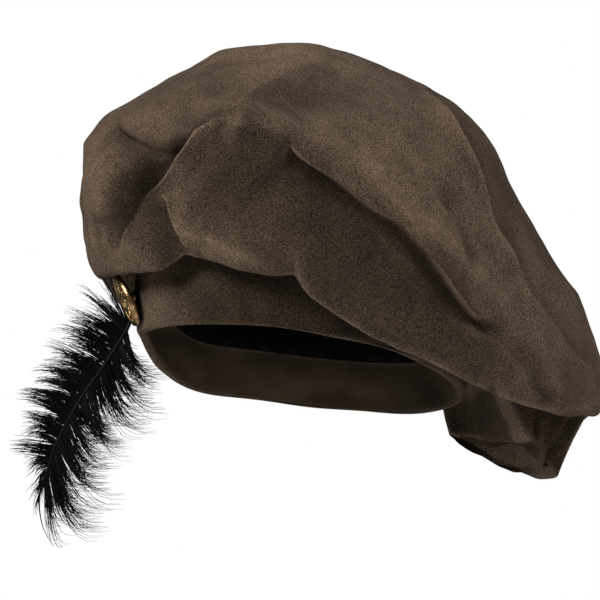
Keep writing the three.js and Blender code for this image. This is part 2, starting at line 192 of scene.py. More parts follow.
def grid_normals(points: np.ndarray) -> np.ndarray:
    """Finds the outward direction at each point of a grid that goes round the hat.

    Args:
        points: Grid of places, round the hat first and up the rows second.

    Returns:
        Unit vectors on the same grid.
    """
    across = np.roll(points, -1, 0) - np.roll(points, 1, 0)
    up = np.gradient(points, axis=1)
    normal = np.cross(across, up)
    length = np.linalg.norm(normal, axis=-1, keepdims=True)
    normal = normal / np.maximum(length, 1e-9)
    normal[:, -1] = np.where(length[:, -1] < 1e-6, np.array([0.0, 0.0, 1.0]), normal[:, -1])
    return normal


def relax(points: np.ndarray, rounds: int) -> np.ndarray:
    """Evens out a grid by moving each point towards its neighbours, all but the end rows.

    Args:
        points: Grid of places, closed round the hat.
        rounds: How many times.

    Returns:
        The evened grid.
    """
    result = points.copy()
    for _ in range(rounds):
        near = (np.roll(result, 1, 0) + np.roll(result, -1, 0)) / 4
        near[:, 1:-1] += (result[:, :-2] + result[:, 2:]) / 4
        moved = result * 0.5 + near * 0.5
        moved[:, 0], moved[:, -1] = result[:, 0], result[:, -1]
        result = moved
    return result


class Waves:
    """Smooth random waves in space, the same on every run."""

    def __init__(self, seed: int, size: float, count: int = 24) -> None:
        """Chooses the waves.

        Args:
            seed: Seed of the choice.
            size: Typical wavelength in mm.
            count: Number of waves.
        """
        rng = np.random.default_rng(seed)
        direction = rng.normal(size=(count, 3))
        direction /= np.linalg.norm(direction, axis=1, keepdims=True)
        self.vectors = direction * (2 * math.pi / (size * rng.uniform(0.7, 1.6, size=(count, 1))))
        self.phases = rng.uniform(0, 2 * math.pi, count)
        self.gain = 1.0 / math.sqrt(count / 2)

    def at(self, points: np.ndarray) -> np.ndarray:
        """Gives a number of about -1 to 1 at each point."""
        return np.sin(points @ self.vectors.T + self.phases).sum(-1) * self.gain


def wrap_grid(name: str, points: np.ndarray, ring: bool = False,
              painted_shading: np.ndarray | None = None) -> bpy.types.Object:
    """Bends a flat grid into a form that goes round the hat, and welds its seam.

    Args:
        name: Name of the piece.
        points: Grid of places in mm, round the hat first and up the rows second.
        ring: Whether the last row joins the first one.
        painted_shading: Painted light and shade at each place, or None where none is painted.

    Returns:
        The new object, in metres, with a UV map that follows the rows.
    """
    around, rows = points.shape[0], points.shape[1] - (0 if ring else 1)
    bm = bmesh.new()
    layer = bm.loops.layers.uv.new("cloth")
    # Painted light and shade for each point, which the cloth materials multiply into their colour.
    pile_and_painted_shade = bm.verts.layers.float.new("painted_shading")
    bmesh.ops.create_grid(bm, x_segments=around, y_segments=rows, size=0.5)
    places = points * MM
    for face in bm.faces:
        face.smooth = True
        for loop in face.loops:
            loop[layer].uv = (loop.vert.co.x + 0.5, loop.vert.co.y + 0.5)
    for vert in bm.verts:
        step = round((vert.co.x + 0.5) * around) % around
        row = round((vert.co.y + 0.5) * rows) % points.shape[1]
        vert.co = places[step, row]
        vert[pile_and_painted_shade] = NEUTRAL_SHADING if painted_shading is None else float(painted_shading[step, row])
    bmesh.ops.remove_doubles(bm, verts=bm.verts, dist=1e-6)
    return finish_mesh(name, bm)


def finish_mesh(name: str, bm: bmesh.types.BMesh, smooth: bool = True) -> bpy.types.Object:
    """Turns a bmesh into an object in the scene.

    Args:
        name: Name of the piece.
        bm: The mesh, in metres, which is freed.
        smooth: Whether faces shade smoothly.

    Returns:
        The new object.
    """
    mesh = bpy.data.meshes.new(name)
    for face in bm.faces:
        face.smooth = smooth
    bm.to_mesh(mesh)
    bm.free()
    piece = bpy.data.objects.new(name, mesh)
    bpy.context.collection.objects.link(piece)
    return piece


def thicken(piece: bpy.types.Object, thickness: float) -> None:
    """Gives a sheet its wall, inwards from its outer face.

    Args:
        piece: The sheet.
        thickness: Wall in mm.
    """
    wall = piece.modifiers.new("wall", "SOLIDIFY")
    wall.thickness = thickness * MM
    wall.offset = -1.0


def dress(piece: bpy.types.Object, material: bpy.types.Material,
          replaced: Sequence[str] = ()) -> None:
    """Gives a piece its finish and its place in the model.

    Args:
        piece: The piece.
        material: Its finish.
        replaced: Nodes that it stands for.
    """
    piece.data.materials.clear()
    piece.data.materials.append(material)
    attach(piece, BODY)
    for node in replaced:
        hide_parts(node)
    LOG.info("%s: %d faces", piece.name, len(piece.data.polygons) if piece.type == "MESH" else 0)


class NodeBook:
    """Short way to write a material's nodes."""

    def __init__(self, name: str) -> None:
        """Starts an empty material.

        Args:
            name: Name of the material.
        """
        self.material = bpy.data.materials.new(name)
        self.material.use_nodes = True
        self.tree = self.material.node_tree
        self.tree.nodes.clear()
        self.output = self.tree.nodes.new("ShaderNodeOutputMaterial")
        self.shader = self.tree.nodes.new("ShaderNodeBsdfPrincipled")
        self.link(self.shader.outputs["BSDF"], self.output.inputs["Surface"])
        self.place = self.tree.nodes.new("ShaderNodeTexCoord")

    def link(self, source: Socket, target: Socket) -> None:
        """Joins two sockets."""
        self.tree.links.new(source, target)

    def stretched(self, scale: tuple[float, float, float]) -> Socket:
        """Scales the object's coordinates.

        Args:
            scale: Scale along X, Y and Z.

        Returns:
            The scaled coordinates.
        """
        mapping = self.tree.nodes.new("ShaderNodeMapping")
        mapping.inputs["Scale"].default_value = scale
        self.link(self.place.outputs["Object"], mapping.inputs["Vector"])
        return mapping.outputs["Vector"]

    def noise(self, scale: float, detail: float = 2.0, vector: Socket | None = None,
              rough: float = 0.5) -> Socket:
        """Adds a noise pattern.

        Args:
            scale: Cells to a metre.
            detail: Octaves.
            vector: Coordinates, or None for the object's own.
            rough: Strength of the finer octaves.

        Returns:
            A number of 0 to 1.
        """
        node = self.tree.nodes.new("ShaderNodeTexNoise")
        node.inputs["Scale"].default_value = scale
        node.inputs["Detail"].default_value = detail
        node.inputs["Roughness"].default_value = rough
        self.link(vector or self.place.outputs["Object"], node.inputs["Vector"])
        return node.outputs["Fac"]

    def maths(self, kind: str, first: Socket | float, second: Socket | float) -> Socket:
        """Adds a sum.

        Args:
            kind: Operation, as Blender names it.
            first: First number.
            second: Second number.

        Returns:
            The result.
        """
        node = self.tree.nodes.new("ShaderNodeMath")
        node.operation = kind
        for socket, value in zip(node.inputs, (first, second)):
            if isinstance(value, Socket):
                self.link(value, socket)
            else:
                socket.default_value = value
        return node.outputs["Value"]

    def blend(self, first: Socket, first_share: float, second: Socket, second_share: float) -> Socket:
        """Adds two patterns, each by its share.

        Args:
            first: First pattern.
            first_share: Its share.
            second: Second pattern.
            second_share: Its share.

        Returns:
            The sum.
        """
        one = self.maths("MULTIPLY", first, first_share)
        return self.maths("ADD", one, self.maths("MULTIPLY", second, second_share))

    def ramp(self, value: Socket, stops: Sequence[tuple[float, Colour]]) -> Socket:
        """Turns a number into a colour.

        Args:
            value: Number of 0 to 1.
            stops: Place and colour of each stop.

        Returns:
            The colour.
        """
        node = self.tree.nodes.new("ShaderNodeValToRGB")
        elements = node.color_ramp.elements
        while len(elements) < len(stops):
            elements.new(0.5)
        for element, (position, colour) in zip(elements, stops):
            element.position = position
            element.color = (*colour, 1.0)
        self.link(value, node.inputs["Fac"])
        return node.outputs["Color"]

    def mix(self, factor: Socket | float, first: Socket, second: Socket, blend: str = "MIX") -> Socket:
        """Mixes two colours.

        Args:
            factor: Share of the second colour.
            first: First colour.
            second: Second colour.
            blend: Way of mixing, as Blender names it.

        Returns:
            The mixed colour.
        """
        node = self.tree.nodes.new("ShaderNodeMix")
        node.data_type = "RGBA"
        node.blend_type = blend
        if isinstance(factor, Socket):
            self.link(factor, node.inputs["Factor"])
        else:
            node.inputs["Factor"].default_value = factor
        self.link(first, node.inputs[6])
        self.link(second, node.inputs[7])
        return node.outputs[2]

    def pile_and_painted_shade(self, colour: Socket) -> Socket:
        """Lightens or darkens a colour by the painted light and shade stored at each point.

        Args:
            colour: Colour where nothing is painted.

        Returns:
            The colour with its painted light and shade.
        """
        node = self.tree.nodes.new("ShaderNodeAttribute")
        node.attribute_name = "painted_shading"
        gain = self.maths("MULTIPLY", node.outputs["Fac"], PAINTED_SHADING_GAIN)
        return self.mix(1.0, colour, self.maths("ADD", gain, PAINTED_SHADING_LOWEST_GAIN), "MULTIPLY")

    def bump(self, height: Socket, depth: float, strength: float = 1.0) -> None:
        """Raises the surface.

        Args:
            height: Pattern of 0 to 1.
            depth: Depth in metres.
            strength: Share of the effect.
        """
        node = self.tree.nodes.new("ShaderNodeBump")
        node.inputs["Distance"].default_value = depth
        node.inputs["Strength"].default_value = strength
        self.link(height, node.inputs["Height"])
        self.link(node.outputs["Normal"], self.shader.inputs["Normal"])

    def fixed(self, **values: float | tuple[float, ...]) -> None:
        """Sets sockets that are the same all over, named with _ for a space."""
        for key, value in values.items():
            self.shader.inputs[key.replace("_", " ")].default_value = value


@dataclass(frozen=True)
class Velvet:
    """Short brown pile with a painted sheen, dark where it faces the eye and pale where it turns away, and
    with painted light and shade.
    """

    # Painted sheen: facing is the colour where the cloth faces the eye, turned where it turns away.
    facing: tuple[float, float, float] = (0.034, 0.0235, 0.0155)
    turned: tuple[float, float, float] = (0.098, 0.069, 0.048)
    worn: tuple[float, float, float] = (0.74, 0.72, 0.70)
    full: tuple[float, float, float] = (1.24, 1.24, 1.24)
    pit: tuple[float, float, float] = (0.22, 0.21, 0.20)
    tuft: tuple[float, float, float] = (1.80, 1.80, 1.80)
    sheen: float = 0.05
    sheen_tint: tuple[float, float, float, float] = (0.62, 0.46, 0.33, 1.0)
    pile_depth: float = 0.0009

    def grain(self, book: NodeBook) -> tuple[Socket, Socket]:
        """Writes the unevenness of the pile.

        Args:
            book: Material to write in.

        Returns:
            The broad shading of the cloth and the fine grain of its pile, both of about 0 to 1.
        """
        patches = book.noise(22.0, 3.0, rough=0.5)
        strokes = book.noise(75.0, 2.0, book.stretched((1.0, 1.0, 0.3)), rough=0.5)
        tufts = book.noise(1350.0, 0.0, book.stretched((0.8, 0.8, 1.3)))
        pile = book.noise(2200.0, 0.0)
        return book.blend(patches, 0.5, strokes, 0.5), book.blend(tufts, 0.4, pile, 0.6)

    def build(self, name: str) -> bpy.types.Material:
        """Writes the material.

        Args:
            name: Name of the material.

        Returns:
            The material.
        """
        book = NodeBook(name)
        broad, fine = self.grain(book)
        # Painted sheen: the base colour goes from facing to turned as the cloth turns away from the eye.
        angle = book.tree.nodes.new("ShaderNodeLayerWeight")
        angle.inputs["Blend"].default_value = 0.42
        painted_shading = book.ramp(angle.outputs["Facing"], ((0.07, self.facing), (0.44, self.turned)))
        pile_and_painted_shade = book.ramp(broad, ((0.34, self.worn), (0.66, self.full)))
        grain = book.ramp(fine, ((0.34, self.pit), (0.66, self.tuft)))
        colour = book.mix(1.0, book.mix(1.0, painted_shading, pile_and_painted_shade, "MULTIPLY"), grain, "MULTIPLY")
        # Painted light and shade stored on the cloth multiplies the colour.
        book.link(book.pile_and_painted_shade(colour), book.shader.inputs["Base Color"])
        book.bump(fine, self.pile_depth, 1.0)
        book.fixed(Roughness=0.95, Specular_IOR_Level=0.06, Sheen_Weight=self.sheen, Sheen_Roughness=0.45,
                   Sheen_Tint=self.sheen_tint)
        return book.material


@dataclass(frozen=True)
class Satin:
    """Smooth woven facing with a soft shine."""

    dark: tuple[float, float, float] = (0.042, 0.0275, 0.0172)
    light: tuple[float, float, float] = (0.088, 0.060, 0.039)

    def build(self, name: str) -> bpy.types.Material:
        """Writes the material.

        Args:
            name: Name of the material.

        Returns:
            The material.
        """
        book = NodeBook(name)
        shade = book.noise(26.0, 3.0, book.stretched((1.0, 1.0, 1.8)))
        thread = book.noise(1500.0, 1.0, book.stretched((0.3, 0.3, 1.0)))
        base = book.blend(shade, 0.8, thread, 0.2)
        colour = book.ramp(base, ((0.35, self.dark), (0.68, self.light)))
        # Painted light and shade stored on the facing multiplies its colour.
        book.link(book.pile_and_painted_shade(colour), book.shader.inputs["Base Color"])
        book.bump(thread, 0.0002, 0.35)
        book.fixed(Roughness=0.58, Specular_IOR_Level=0.08)
        return book.material


@dataclass(frozen=True)
class LiningCloth:
    """Thin dark lining with creases."""

    dark: tuple[float, float, float] = (0.0005, 0.0004, 0.0003)
    light: tuple[float, float, float] = (0.0026, 0.0020, 0.0015)

    def build(self, name: str) -> bpy.types.Material:
        """Writes the material.

        Args:
            name: Name of the material.

        Returns:
            The material.
        """
        book = NodeBook(name)
        shade = book.noise(38.0, 4.0)
        thread = book.noise(1300.0, 1.0)
        colour = book.ramp(shade, ((0.35, self.dark), (0.7, self.light)))
        book.link(colour, book.shader.inputs["Base Color"])
        book.bump(book.maths("ADD", thread, book.maths("MULTIPLY", shade, 2.0)), 0.0004, 0.4)
        book.fixed(Roughness=0.7, Specular_IOR_Level=0.06)
        return book.material


@dataclass(frozen=True)
class AgedGold:
    """Warm gold, dark with age and brighter in patches spread at random."""

    bright: tuple[float, float, float] = (0.70, 0.47, 0.23)
    dull: tuple[float, float, float] = (0.30, 0.18, 0.08)
    dark: tuple[float, float, float] = (0.055, 0.033, 0.016)

    def build(self, name: str) -> bpy.types.Material:
        """Writes the material.

        Args:
            name: Name of the material.

        Returns:
            The material.
        """
        book = NodeBook(name)
        stain = book.noise(260.0, 4.0, rough=0.65)
        fine = book.noise(1900.0, 2.0)
        base = book.blend(stain, 0.75, fine, 0.25)
        colour = book.ramp(base, ((0.34, self.dark), (0.48, self.dull), (0.64, self.bright)))
        book.link(colour, book.shader.inputs["Base Color"])
        rough = book.maths("ADD", book.maths("MULTIPLY", fine, 0.22), 0.16)
        book.link(rough, book.shader.inputs["Roughness"])
        book.bump(fine, 0.00025, 0.4)
        book.fixed(Metallic=1.0)
        return book.material


@dataclass(frozen=True)
class Feather:
    """Dyed black barbs with a faint cool shine."""

    root: tuple[float, float, float] = (0.0005, 0.0005, 0.0006)
    tip: tuple[float, float, float] = (0.0022, 0.0021, 0.0023)
    roughness: float = 0.55

    def build(self, name: str) -> bpy.types.Material:
        """Writes the material.

        Args:
            name: Name of the material.

        Returns:
            The material.
        """
        book = NodeBook(name)
        shade = book.noise(420.0, 2.0)
        colour = book.ramp(shade, ((0.35, self.root), (0.7, self.tip)))
        book.link(colour, book.shader.inputs["Base Color"])
        book.fixed(Roughness=self.roughness, Specular_IOR_Level=0.11)
        return book.material


@dataclass(frozen=True)
class PaleGround:
    """Matt white studio floor."""

    colour: tuple[float, float, float, float] = (0.86, 0.86, 0.86, 1.0)

    def build(self, name: str) -> bpy.types.Material:
        """Writes the material."""
        book = NodeBook(name)
        tone = book.ramp(book.noise(6.0, 2.0), ((0.3, self.colour[:3]), (0.7, (0.88, 0.88, 0.875))))
        book.link(tone, book.shader.inputs["Base Color"])
        book.fixed(Roughness=0.9)
        return book.material


@dataclass(frozen=True)
class Sag:
    """A stretch of the band's lower edge that hangs lower, or higher where drop is negative."""

    azimuth: float
    spread: float
    drop: float


@dataclass
class HeadBand:
    """The oval that everything is sewn to: the band's outer face and lower edge, in mm."""

    long: float = 104.0
    short: float = 84.0
    turn: float = 22.0
    power: float = 2.3
    slope_x: float = -0.125
    slope_y: float = -0.205
    height: float = 44.0
    sags: tuple[Sag, ...] = (Sag(60, 50, 3), Sag(140, 33, 10), Sag(188, 14, -5))

    def radius(self, azimuth: np.ndarray) -> np.ndarray:
        """Gives the outer radius at each azimuth, in radians."""
        turn = math.radians(self.turn)
        along = np.abs(math.sin(turn) * np.cos(azimuth) + math.cos(turn) * np.sin(azimuth)) / self.long
        across = np.abs(math.cos(turn) * np.cos(azimuth) - math.sin(turn) * np.sin(azimuth)) / self.short
        return (along ** self.power + across ** self.power) ** (-1 / self.power)

    def edge_height(self, azimuth: np.ndarray) -> np.ndarray:
        """Gives the height of the lower edge at each azimuth."""
        radius = self.radius(azimuth)
        height = radius * (self.slope_x * np.cos(azimuth) + self.slope_y * np.sin(azimuth))
        for sag in self.sags:
            turned = azimuth - math.radians(sag.azimuth)
            away = np.arctan2(np.sin(turned), np.cos(turned))
            height = height - sag.drop * np.exp(-(away / math.radians(sag.spread)) ** 2)
        return height

    def point(self, azimuth: np.ndarray, out: np.ndarray, up: np.ndarray) -> np.ndarray:
        """Finds a place beside the band.

        Args:
            azimuth: Radians round the head.
            out: Distance out from the band's outer face.
            up: Height above its lower edge.

        Returns:
            Places, x, y and z last.
        """
        radius = self.radius(azimuth) + out
        x, y = radius * np.cos(azimuth), radius * np.sin(azimuth)
        z = self.edge_height(azimuth) + up
        return np.stack(np.broadcast_arrays(x, y, z), -1)


def crowded_azimuths(count: int, crowding: float = 0.5) -> np.ndarray:
    """Spreads azimuths round the hat, closer together at the folded front.

    Args:
        count: How many.
        crowding: Share by which the front is closer than the mean.

    Returns:
        One column of radians.
    """
    turn = np.arange(count)[:, None] / count * 2 * math.pi
    return turn - crowding * np.cos(turn)


@dataclass(frozen=True)
class Puff:
    """A soft bulge or dip, placed on the front elevation in mm, its reach along x and z."""

    height: float
    middle: tuple[float, float]
    reach: tuple[float, float]

    def shape(self, places: np.ndarray) -> np.ndarray:
        """Works out how far the cloth moves out at places on the front elevation."""
        away = (places - np.array(self.middle)) / np.array(self.reach)
        return self.height * np.exp(-(away ** 2).sum(-1))


@dataclass(frozen=True)
class Section:
    """One upright cut through the crown, as radius and height in mm.

    The hollow is how far the cloth falls in between its shoulder and its crest.
    """

    azimuth: float
    belly: tuple[float, float]
    edge: tuple[float, float]
    shoulder: tuple[float, float]
    crest: tuple[float, float]
    hollow: float

    def columns(self) -> tuple[float, ...]:
        """Lists the section's numbers."""
        return (*self.belly, *self.edge, *self.shoulder, *self.crest, self.hollow)


@dataclass(frozen=True)
class Fold:
    """A ridge, a valley or an overhanging fold, drawn on the front elevation in mm.

    Left and right are the widths of its two sides, as seen along the path. Without a tuck both
    sides have the fold's height, which is negative in a valley. With a tuck the left side stands
    out by the height, the right side goes in by the tuck, and pull drags the upper cloth along x
    and z so that it hangs over the other. Power is 1 for a sharp top and 2 for a round one.
    """

    name: str
    height: float
    left: float
    right: float
    path: Points
    tuck: float | None = None
    pull: tuple[float, float] = (0.0, 0.0)
    power: float = 1.3
    fade: float = 0.2
    edge: float = 0.9

    def distances(self, flat: np.ndarray) -> tuple[np.ndarray, np.ndarray]:
        """Measures places against the path.

        Args:
            flat: Places on the fold's plane, one row each.

        Returns:
            Distance from the path, positive on its left, and the share of its length.
        """
        line = smooth_path(self.path, 5)
        runs = np.diff(line, axis=0)
        lengths = np.linalg.norm(runs, axis=1)
        ends = np.concatenate([[0.0], np.cumsum(lengths)])
        best = np.full(len(flat), 1e9)
        side = np.ones(len(flat))
        along = np.zeros(len(flat))
        for start, run, length, travelled in zip(line[:-1], runs, lengths, ends[:-1]):
            offset = flat - start
            t = np.clip(offset @ run / length ** 2, 0, 1)
            distance = np.linalg.norm(offset - t[:, None] * run, axis=1)
            nearer = distance < best
            best[nearer] = distance[nearer]
            side[nearer] = np.sign(run[0] * offset[:, 1] - run[1] * offset[:, 0])[nearer]
            along[nearer] = ((travelled + t * length) / ends[-1])[nearer]
        return best * side, along

    def shape(self, places: np.ndarray) -> tuple[np.ndarray, np.ndarray]:
        """Works out the fold at places on its plane.

        Args:
            places: Places, with the two coordinates last.

        Returns:
            How far the cloth moves out, and the share of the pull.
        """
        flat = places.reshape(-1, 2)
        reach = 4 * max(self.left, self.right)
        corners = np.array(self.path)
        near = ((flat > corners.min(0) - reach) & (flat < corners.max(0) + reach)).all(1)
        out, drag = np.zeros(len(flat)), np.zeros(len(flat))
        signed, along = self.distances(flat[near])
        taper = smoothstep(np.minimum(along, 1 - along), 0.0, self.fade)
        distance = np.sqrt(signed ** 2 + self.edge ** 2) - self.edge
        upper = np.exp(-(distance / self.left) ** self.power)
        lower = np.exp(-(distance / self.right) ** self.power)
        blend = smoothstep(signed, -self.edge, self.edge)
        low = self.height if self.tuck is None else -self.tuck
        out[near] = taper * (blend * self.height * upper + (1 - blend) * low * lower)
        drag[near] = taper * blend * upper
        return out.reshape(places.shape[:-1]), drag.reshape(places.shape[:-1])


CROWN_SECTIONS = (
    Section(0, (152, -19), (160, -11), (151, 38), (99, 136), 8),
    Section(3, (150, -22), (158, -14), (150, 38), (99, 137), 8),
    Section(4.5, (141, -27), (156, -17), (149, 39), (99, 137), 8),
    Section(6, (138, -55), (143, -40), (146, 40), (99, 138), 8),
    Section(14, (138, -59), (145, -40), (142, 41), (99, 138), 7),
    Section(24, (138, -61), (146, -40), (138, 40), (99, 137), 5),
    Section(36, (137, -59), (145, -36), (134, 42), (98, 140), 3),
    Section(42, (129, -49), (138, -34), (132, 46), (98, 142), 2),
    Section(46, (120, -41), (131, -29), (130, 50), (97, 144), 1),
    Section(51, (136, -20), (142, -2), (128, 56), (97, 145), 0),
    Section(60, (126, -6), (138, 10), (126, 64), (95, 147), 0),
    Section(90, (112, 0), (136, 28), (120, 88), (86, 152), 0),
    Section(115, (110, 8), (132, 42), (115, 102), (82, 153), 0),
    Section(140, (108, 20), (128, 60), (110, 118), (76, 154), 0),
    Section(180, (112, 50), (122, 90), (111, 132), (71, 154), 0),
    Section(202, (118, 51), (130, 90), (114, 132), (72, 155), 0),
    Section(222, (122, 52), (135, 95), (118, 131), (75, 156), 0),
    Section(232, (124, 52), (138, 100), (122, 131), (76, 157), 0),
    Section(240, (125, 61), (139, 112), (120, 135), (77, 157), 0),
    Section(247, (126, 60), (139, 120), (118, 138), (78, 157), 0),
    Section(255, (127, 56), (140, 125), (117, 141), (80, 157), 0),
    Section(262, (127, 54), (141, 120), (117, 138), (81, 157), 0),
    Section(268, (128, 53), (143, 114), (118, 134), (82, 156), 0),
    Section(271, (128, 43), (143, 109), (119, 131), (83, 155), 0),
    Section(275, (128, 35), (143, 103), (120, 127), (84, 154), 0),
    Section(279, (128, 29), (144, 93), (122, 121), (86, 152), 0),
    Section(286, (129, 19), (145, 82), (126, 108), (88, 150), 0),
    Section(300, (133, 4), (147, 56), (132, 82), (95, 144), 0),
    Section(313, (136, -9), (149, 24), (138, 60), (100, 138), 0),
    Section(325, (140, -17), (152, 5), (141, 54), (103, 135), 1),
    Section(340, (146, -20), (157, -9), (146, 46), (102, 133), 5),
    Section(352, (151, -20), (160, -11), (151, 40), (100, 135), 7),
)

FRONT_FOLDS = (
    Fold("lobe edge", 5, 10, 17,
         ((-49, 137), (-53, 134), (-57, 130), (-62, 123), (-68, 117), (-75, 108), (-83, 99),
          (-89, 89), (-95, 79), (-99, 70), (-102, 62)),
         tuck=12, pull=(-1.5, 0), power=1.2, fade=0.14),
    Fold("brow rim", 5, 12, 26,
         ((-43, 136), (-35, 132), (-24, 129), (-13, 125), (-3, 117)),
         pull=(0, 0.5), power=1.2, fade=0.3),
    Fold("long fold", 4.5, 15, 12,
         ((-10, 125), (-2, 119), (5, 113), (12, 108), (23, 100), (32, 93), (42, 86), (52, 80),
          (59, 74), (64, 68), (70, 62), (74, 57), (79, 50), (85, 42), (90, 36), (95, 29),
          (102, 21)),
         tuck=6.5, pull=(-1.5, -2.5), power=1.2, fade=0.08),
    Fold("inner lobe edge", 5, 12, 8,
         ((-77, 98), (-75, 94), (-73, 91), (-70, 85), (-67, 78), (-64, 70), (-60, 65), (-54, 62)),
         tuck=7, pull=(-1, -1), power=1.2, fade=0.3),
    Fold("brow fold", 3, 12, 11,
         ((-105, 137), (-96, 131), (-90, 127), (-83, 124), (-75, 121), (-66, 123)),
         tuck=7, pull=(0, -1), power=1.3, fade=0.22),
    Fold("brow crease", 1.6, 2.5, 3,
         ((-85, 112), (-77, 114), (-70, 115), (-65, 119)),
         power=1.2, fade=0.3),
    Fold("panel ridge", 5, 11, 7,
         ((-114, 76), (-111, 84), (-106, 92), (-101, 101), (-95, 108), (-89, 113)),
         power=1.3, fade=0.25),
    Fold("panel crease", 0.8, 4, 4,
         ((-114, 78), (-111, 71), (-108, 65), (-104, 57)),
         tuck=1.4, power=1.2, fade=0.2),
    Fold("left strip", 1.6, 8, 3.5,
         ((-117, 132), (-119, 123), (-120, 112), (-120, 98), (-120, 84), (-119, 75), (-116, 67),
          (-112, 58)),
         tuck=3.5, power=1.3, fade=0.15),
    Fold("top fold", 3.6, 24, 13,
         ((-45, 137), (-35, 143), (-28, 148), (-23, 152), (-15, 156), (-7, 159), (1, 164), (9, 167),
          (17, 170)),
         power=1.3, fade=0.35),
    Fold("apex pit", -2.6, 4, 4,
         ((-66, 125), (-61, 130), (-55, 135), (-48, 138), (-39, 141)),
         power=1.3, fade=0.25),
    Fold("soft shelf", 1.5, 8, 10,
         ((-7, 131), (9, 136), (22, 138), (37, 138), (52, 136)),
         power=1.5, fade=0.3),
    Fold("top rim", 1.4, 4, 11,
         ((-57, 166), (-46, 169), (-32, 171), (-12, 172), (7, 174), (17, 174)),
         power=1.3, fade=0.2),
    Fold("right ridge", 4, 8, 4,
         ((123, 49), (116, 59), (112, 68), (107, 77), (103, 88), (100, 98), (96, 107), (92, 115),
          (87, 125), (84, 134), (79, 143), (73, 151), (66, 158)),
         tuck=3.5, pull=(1, 0), power=1.15, fade=0.12),
    Fold("corner ridge", 2.4, 5, 6,
         ((119, 55), (121, 43), (123, 32), (126, 21), (129, 13), (131, 3), (134, -9), (138, -16),
          (143, -22)),
         power=1.2, fade=0.15),
    Fold("corner valley", -2.2, 3.5, 4,
         ((107, 14), (116, 6), (123, -1), (127, -8), (133, -16), (138, -21)),
         power=1.3, fade=0.2),
    Fold("corner crease", -1.4, 2, 2.5,
         ((127, -7), (132, -13), (136, -18), (141, -22)),
         power=1.3, fade=0.25),
    Fold("right fold", 1.2, 6, 6,
         ((158, -1), (151, 7), (144, 15), (136, 26), (127, 37), (120, 46)),
         tuck=1.8, power=1.2, fade=0.15),
    Fold("small ridge", 1.2, 7, 8,
         ((91, 51), (90, 60), (87, 73), (81, 85), (75, 93), (67, 99)),
         tuck=1.8, power=1.3, fade=0.2),
    Fold("side dimple", -1.8, 8, 7, ((60, 85), (69, 86), (76, 91), (83, 98)), power=1.6, fade=0.35),
    Fold("pinch", -5, 3, 3.5, ((96, 30), (99, 24), (101, 17)), power=1.4, fade=0.3),
    Fold("pinch lip", 1.5, 2.5, 3, ((96, 34), (101, 27), (105, 21)), power=1.3, fade=0.3),
    Fold("lobe light", 3.2, 12, 5,
         ((-72, 88), (-59, 80), (-48, 75), (-35, 69), (-21, 62), (-6, 56)),
         power=1.2, fade=0.2),
    Fold("upper dimple", -2, 5, 5,
         ((-52, 158), (-50, 154), (-48, 148), (-47, 144)),
         power=1.6, fade=0.35),
)

FLOP_FOLDS = (
    Fold("flop crease", 2.5, 10, 8,
         ((79, -38), (87, -39), (97, -40), (107, -42), (114, -43), (119, -42), (124, -40),
          (130, -36), (137, -33), (145, -30)),
         tuck=5, power=1.2, fade=0.06),
    Fold("flop facet", 3, 15, 8,
         ((118, -40), (116, -31), (112, -24), (109, -18), (105, -10)),
         power=1.2, fade=0.12),
    Fold("flop valley", -3, 4, 5,
         ((106, -42), (112, -47), (116, -52), (125, -57)),
         power=1.3, fade=0.2),
    Fold("flop knuckle", 1.5, 2.5, 2.5, ((123, -38), (125, -41), (127, -44)), power=1.3, fade=0.4),
)


@dataclass(frozen=True)
class Drape:
    """A soft fold on the back or the sides, drawn round the hat and up its cloth.

    path holds azimuth in degrees and the share of the way from the seam to the top.
    """

    height: float
    width: float
    path: Points

    def weight(self, azimuth: np.ndarray, share: np.ndarray, degree: float = 2.3,
               reach: float = 300.0) -> np.ndarray:
        """Gives the fold's strength.

        Args:
            azimuth: Radians round the hat.
            share: Share of the way from seam to top.
            degree: Length in mm of a degree round the hat.
            reach: Length in mm from seam to top.

        Returns:
            Strength of 0 to 1.
        """
        middle = self.path[len(self.path) // 2][0]
        turned = (np.degrees(azimuth) - middle + 180) % 360 - 180 + middle
        places = np.stack(np.broadcast_arrays(turned * degree, share * reach), -1)
        path = tuple((a * degree, s * reach) for a, s in self.path)
        return Fold("drape", 1.0, self.width, self.width, path, power=1.5, fade=0.3).shape(places)[0]


FRONT_PUFFS = (
    Puff(5.0, (-64, 98), (24, 24)),
    Puff(4.0, (-30, 78), (30, 18)),
    Puff(4.0, (-108, 106), (10, 20)),
    Puff(-4.0, (-82, 108), (16, 10)),
    Puff(3.5, (-50, 150), (30, 14)),
    Puff(-3.0, (2, 146), (22, 12)),
    Puff(3.0, (42, 120), (30, 16)),
    Puff(-3.5, (112, 92), (8, 26)),
    Puff(3.0, (112, 10), (18, 20)),
    Puff(-2.0, (60, 30), (30, 14)),
)

# Painted light and shade on the crown's front: patches painted lighter or darker.
PAINTED_SHADE_PATCHES = (
    Puff(-0.24, (-7, 146), (38, 16)),
    Puff(-0.24, (-52, 154), (36, 14)),
    Puff(-0.12, (44, 142), (34, 18)),
    Puff(-0.12, (-100, 126), (14, 12)),
    Puff(0.10, (-111, 98), (9, 24)),
    Puff(0.34, (-58, 80), (18, 7)),
    Puff(0.60, (-30, 69), (26, 8)),
    Puff(0.24, (64, 84), (24, 26)),
    Puff(0.08, (26, 109), (22, 12)),
    Puff(0.08, (110, 62), (14, 30)),
    Puff(0.20, (62, 24), (34, 12)),
    Puff(-0.10, (-40, 105), (26, 16)),
)

# Painted shade under the hanging side, with one painted lighter patch.
FLOP_PAINTED_SHADE_PATCHES = (
    Puff(-0.30, (95, -28), (13, 13)),
    Puff(-0.50, (104, -46), (18, 7)),
    Puff(0.22, (134, -38), (10, 14)),
    Puff(-0.30, (149, -27), (14, 4)),
)

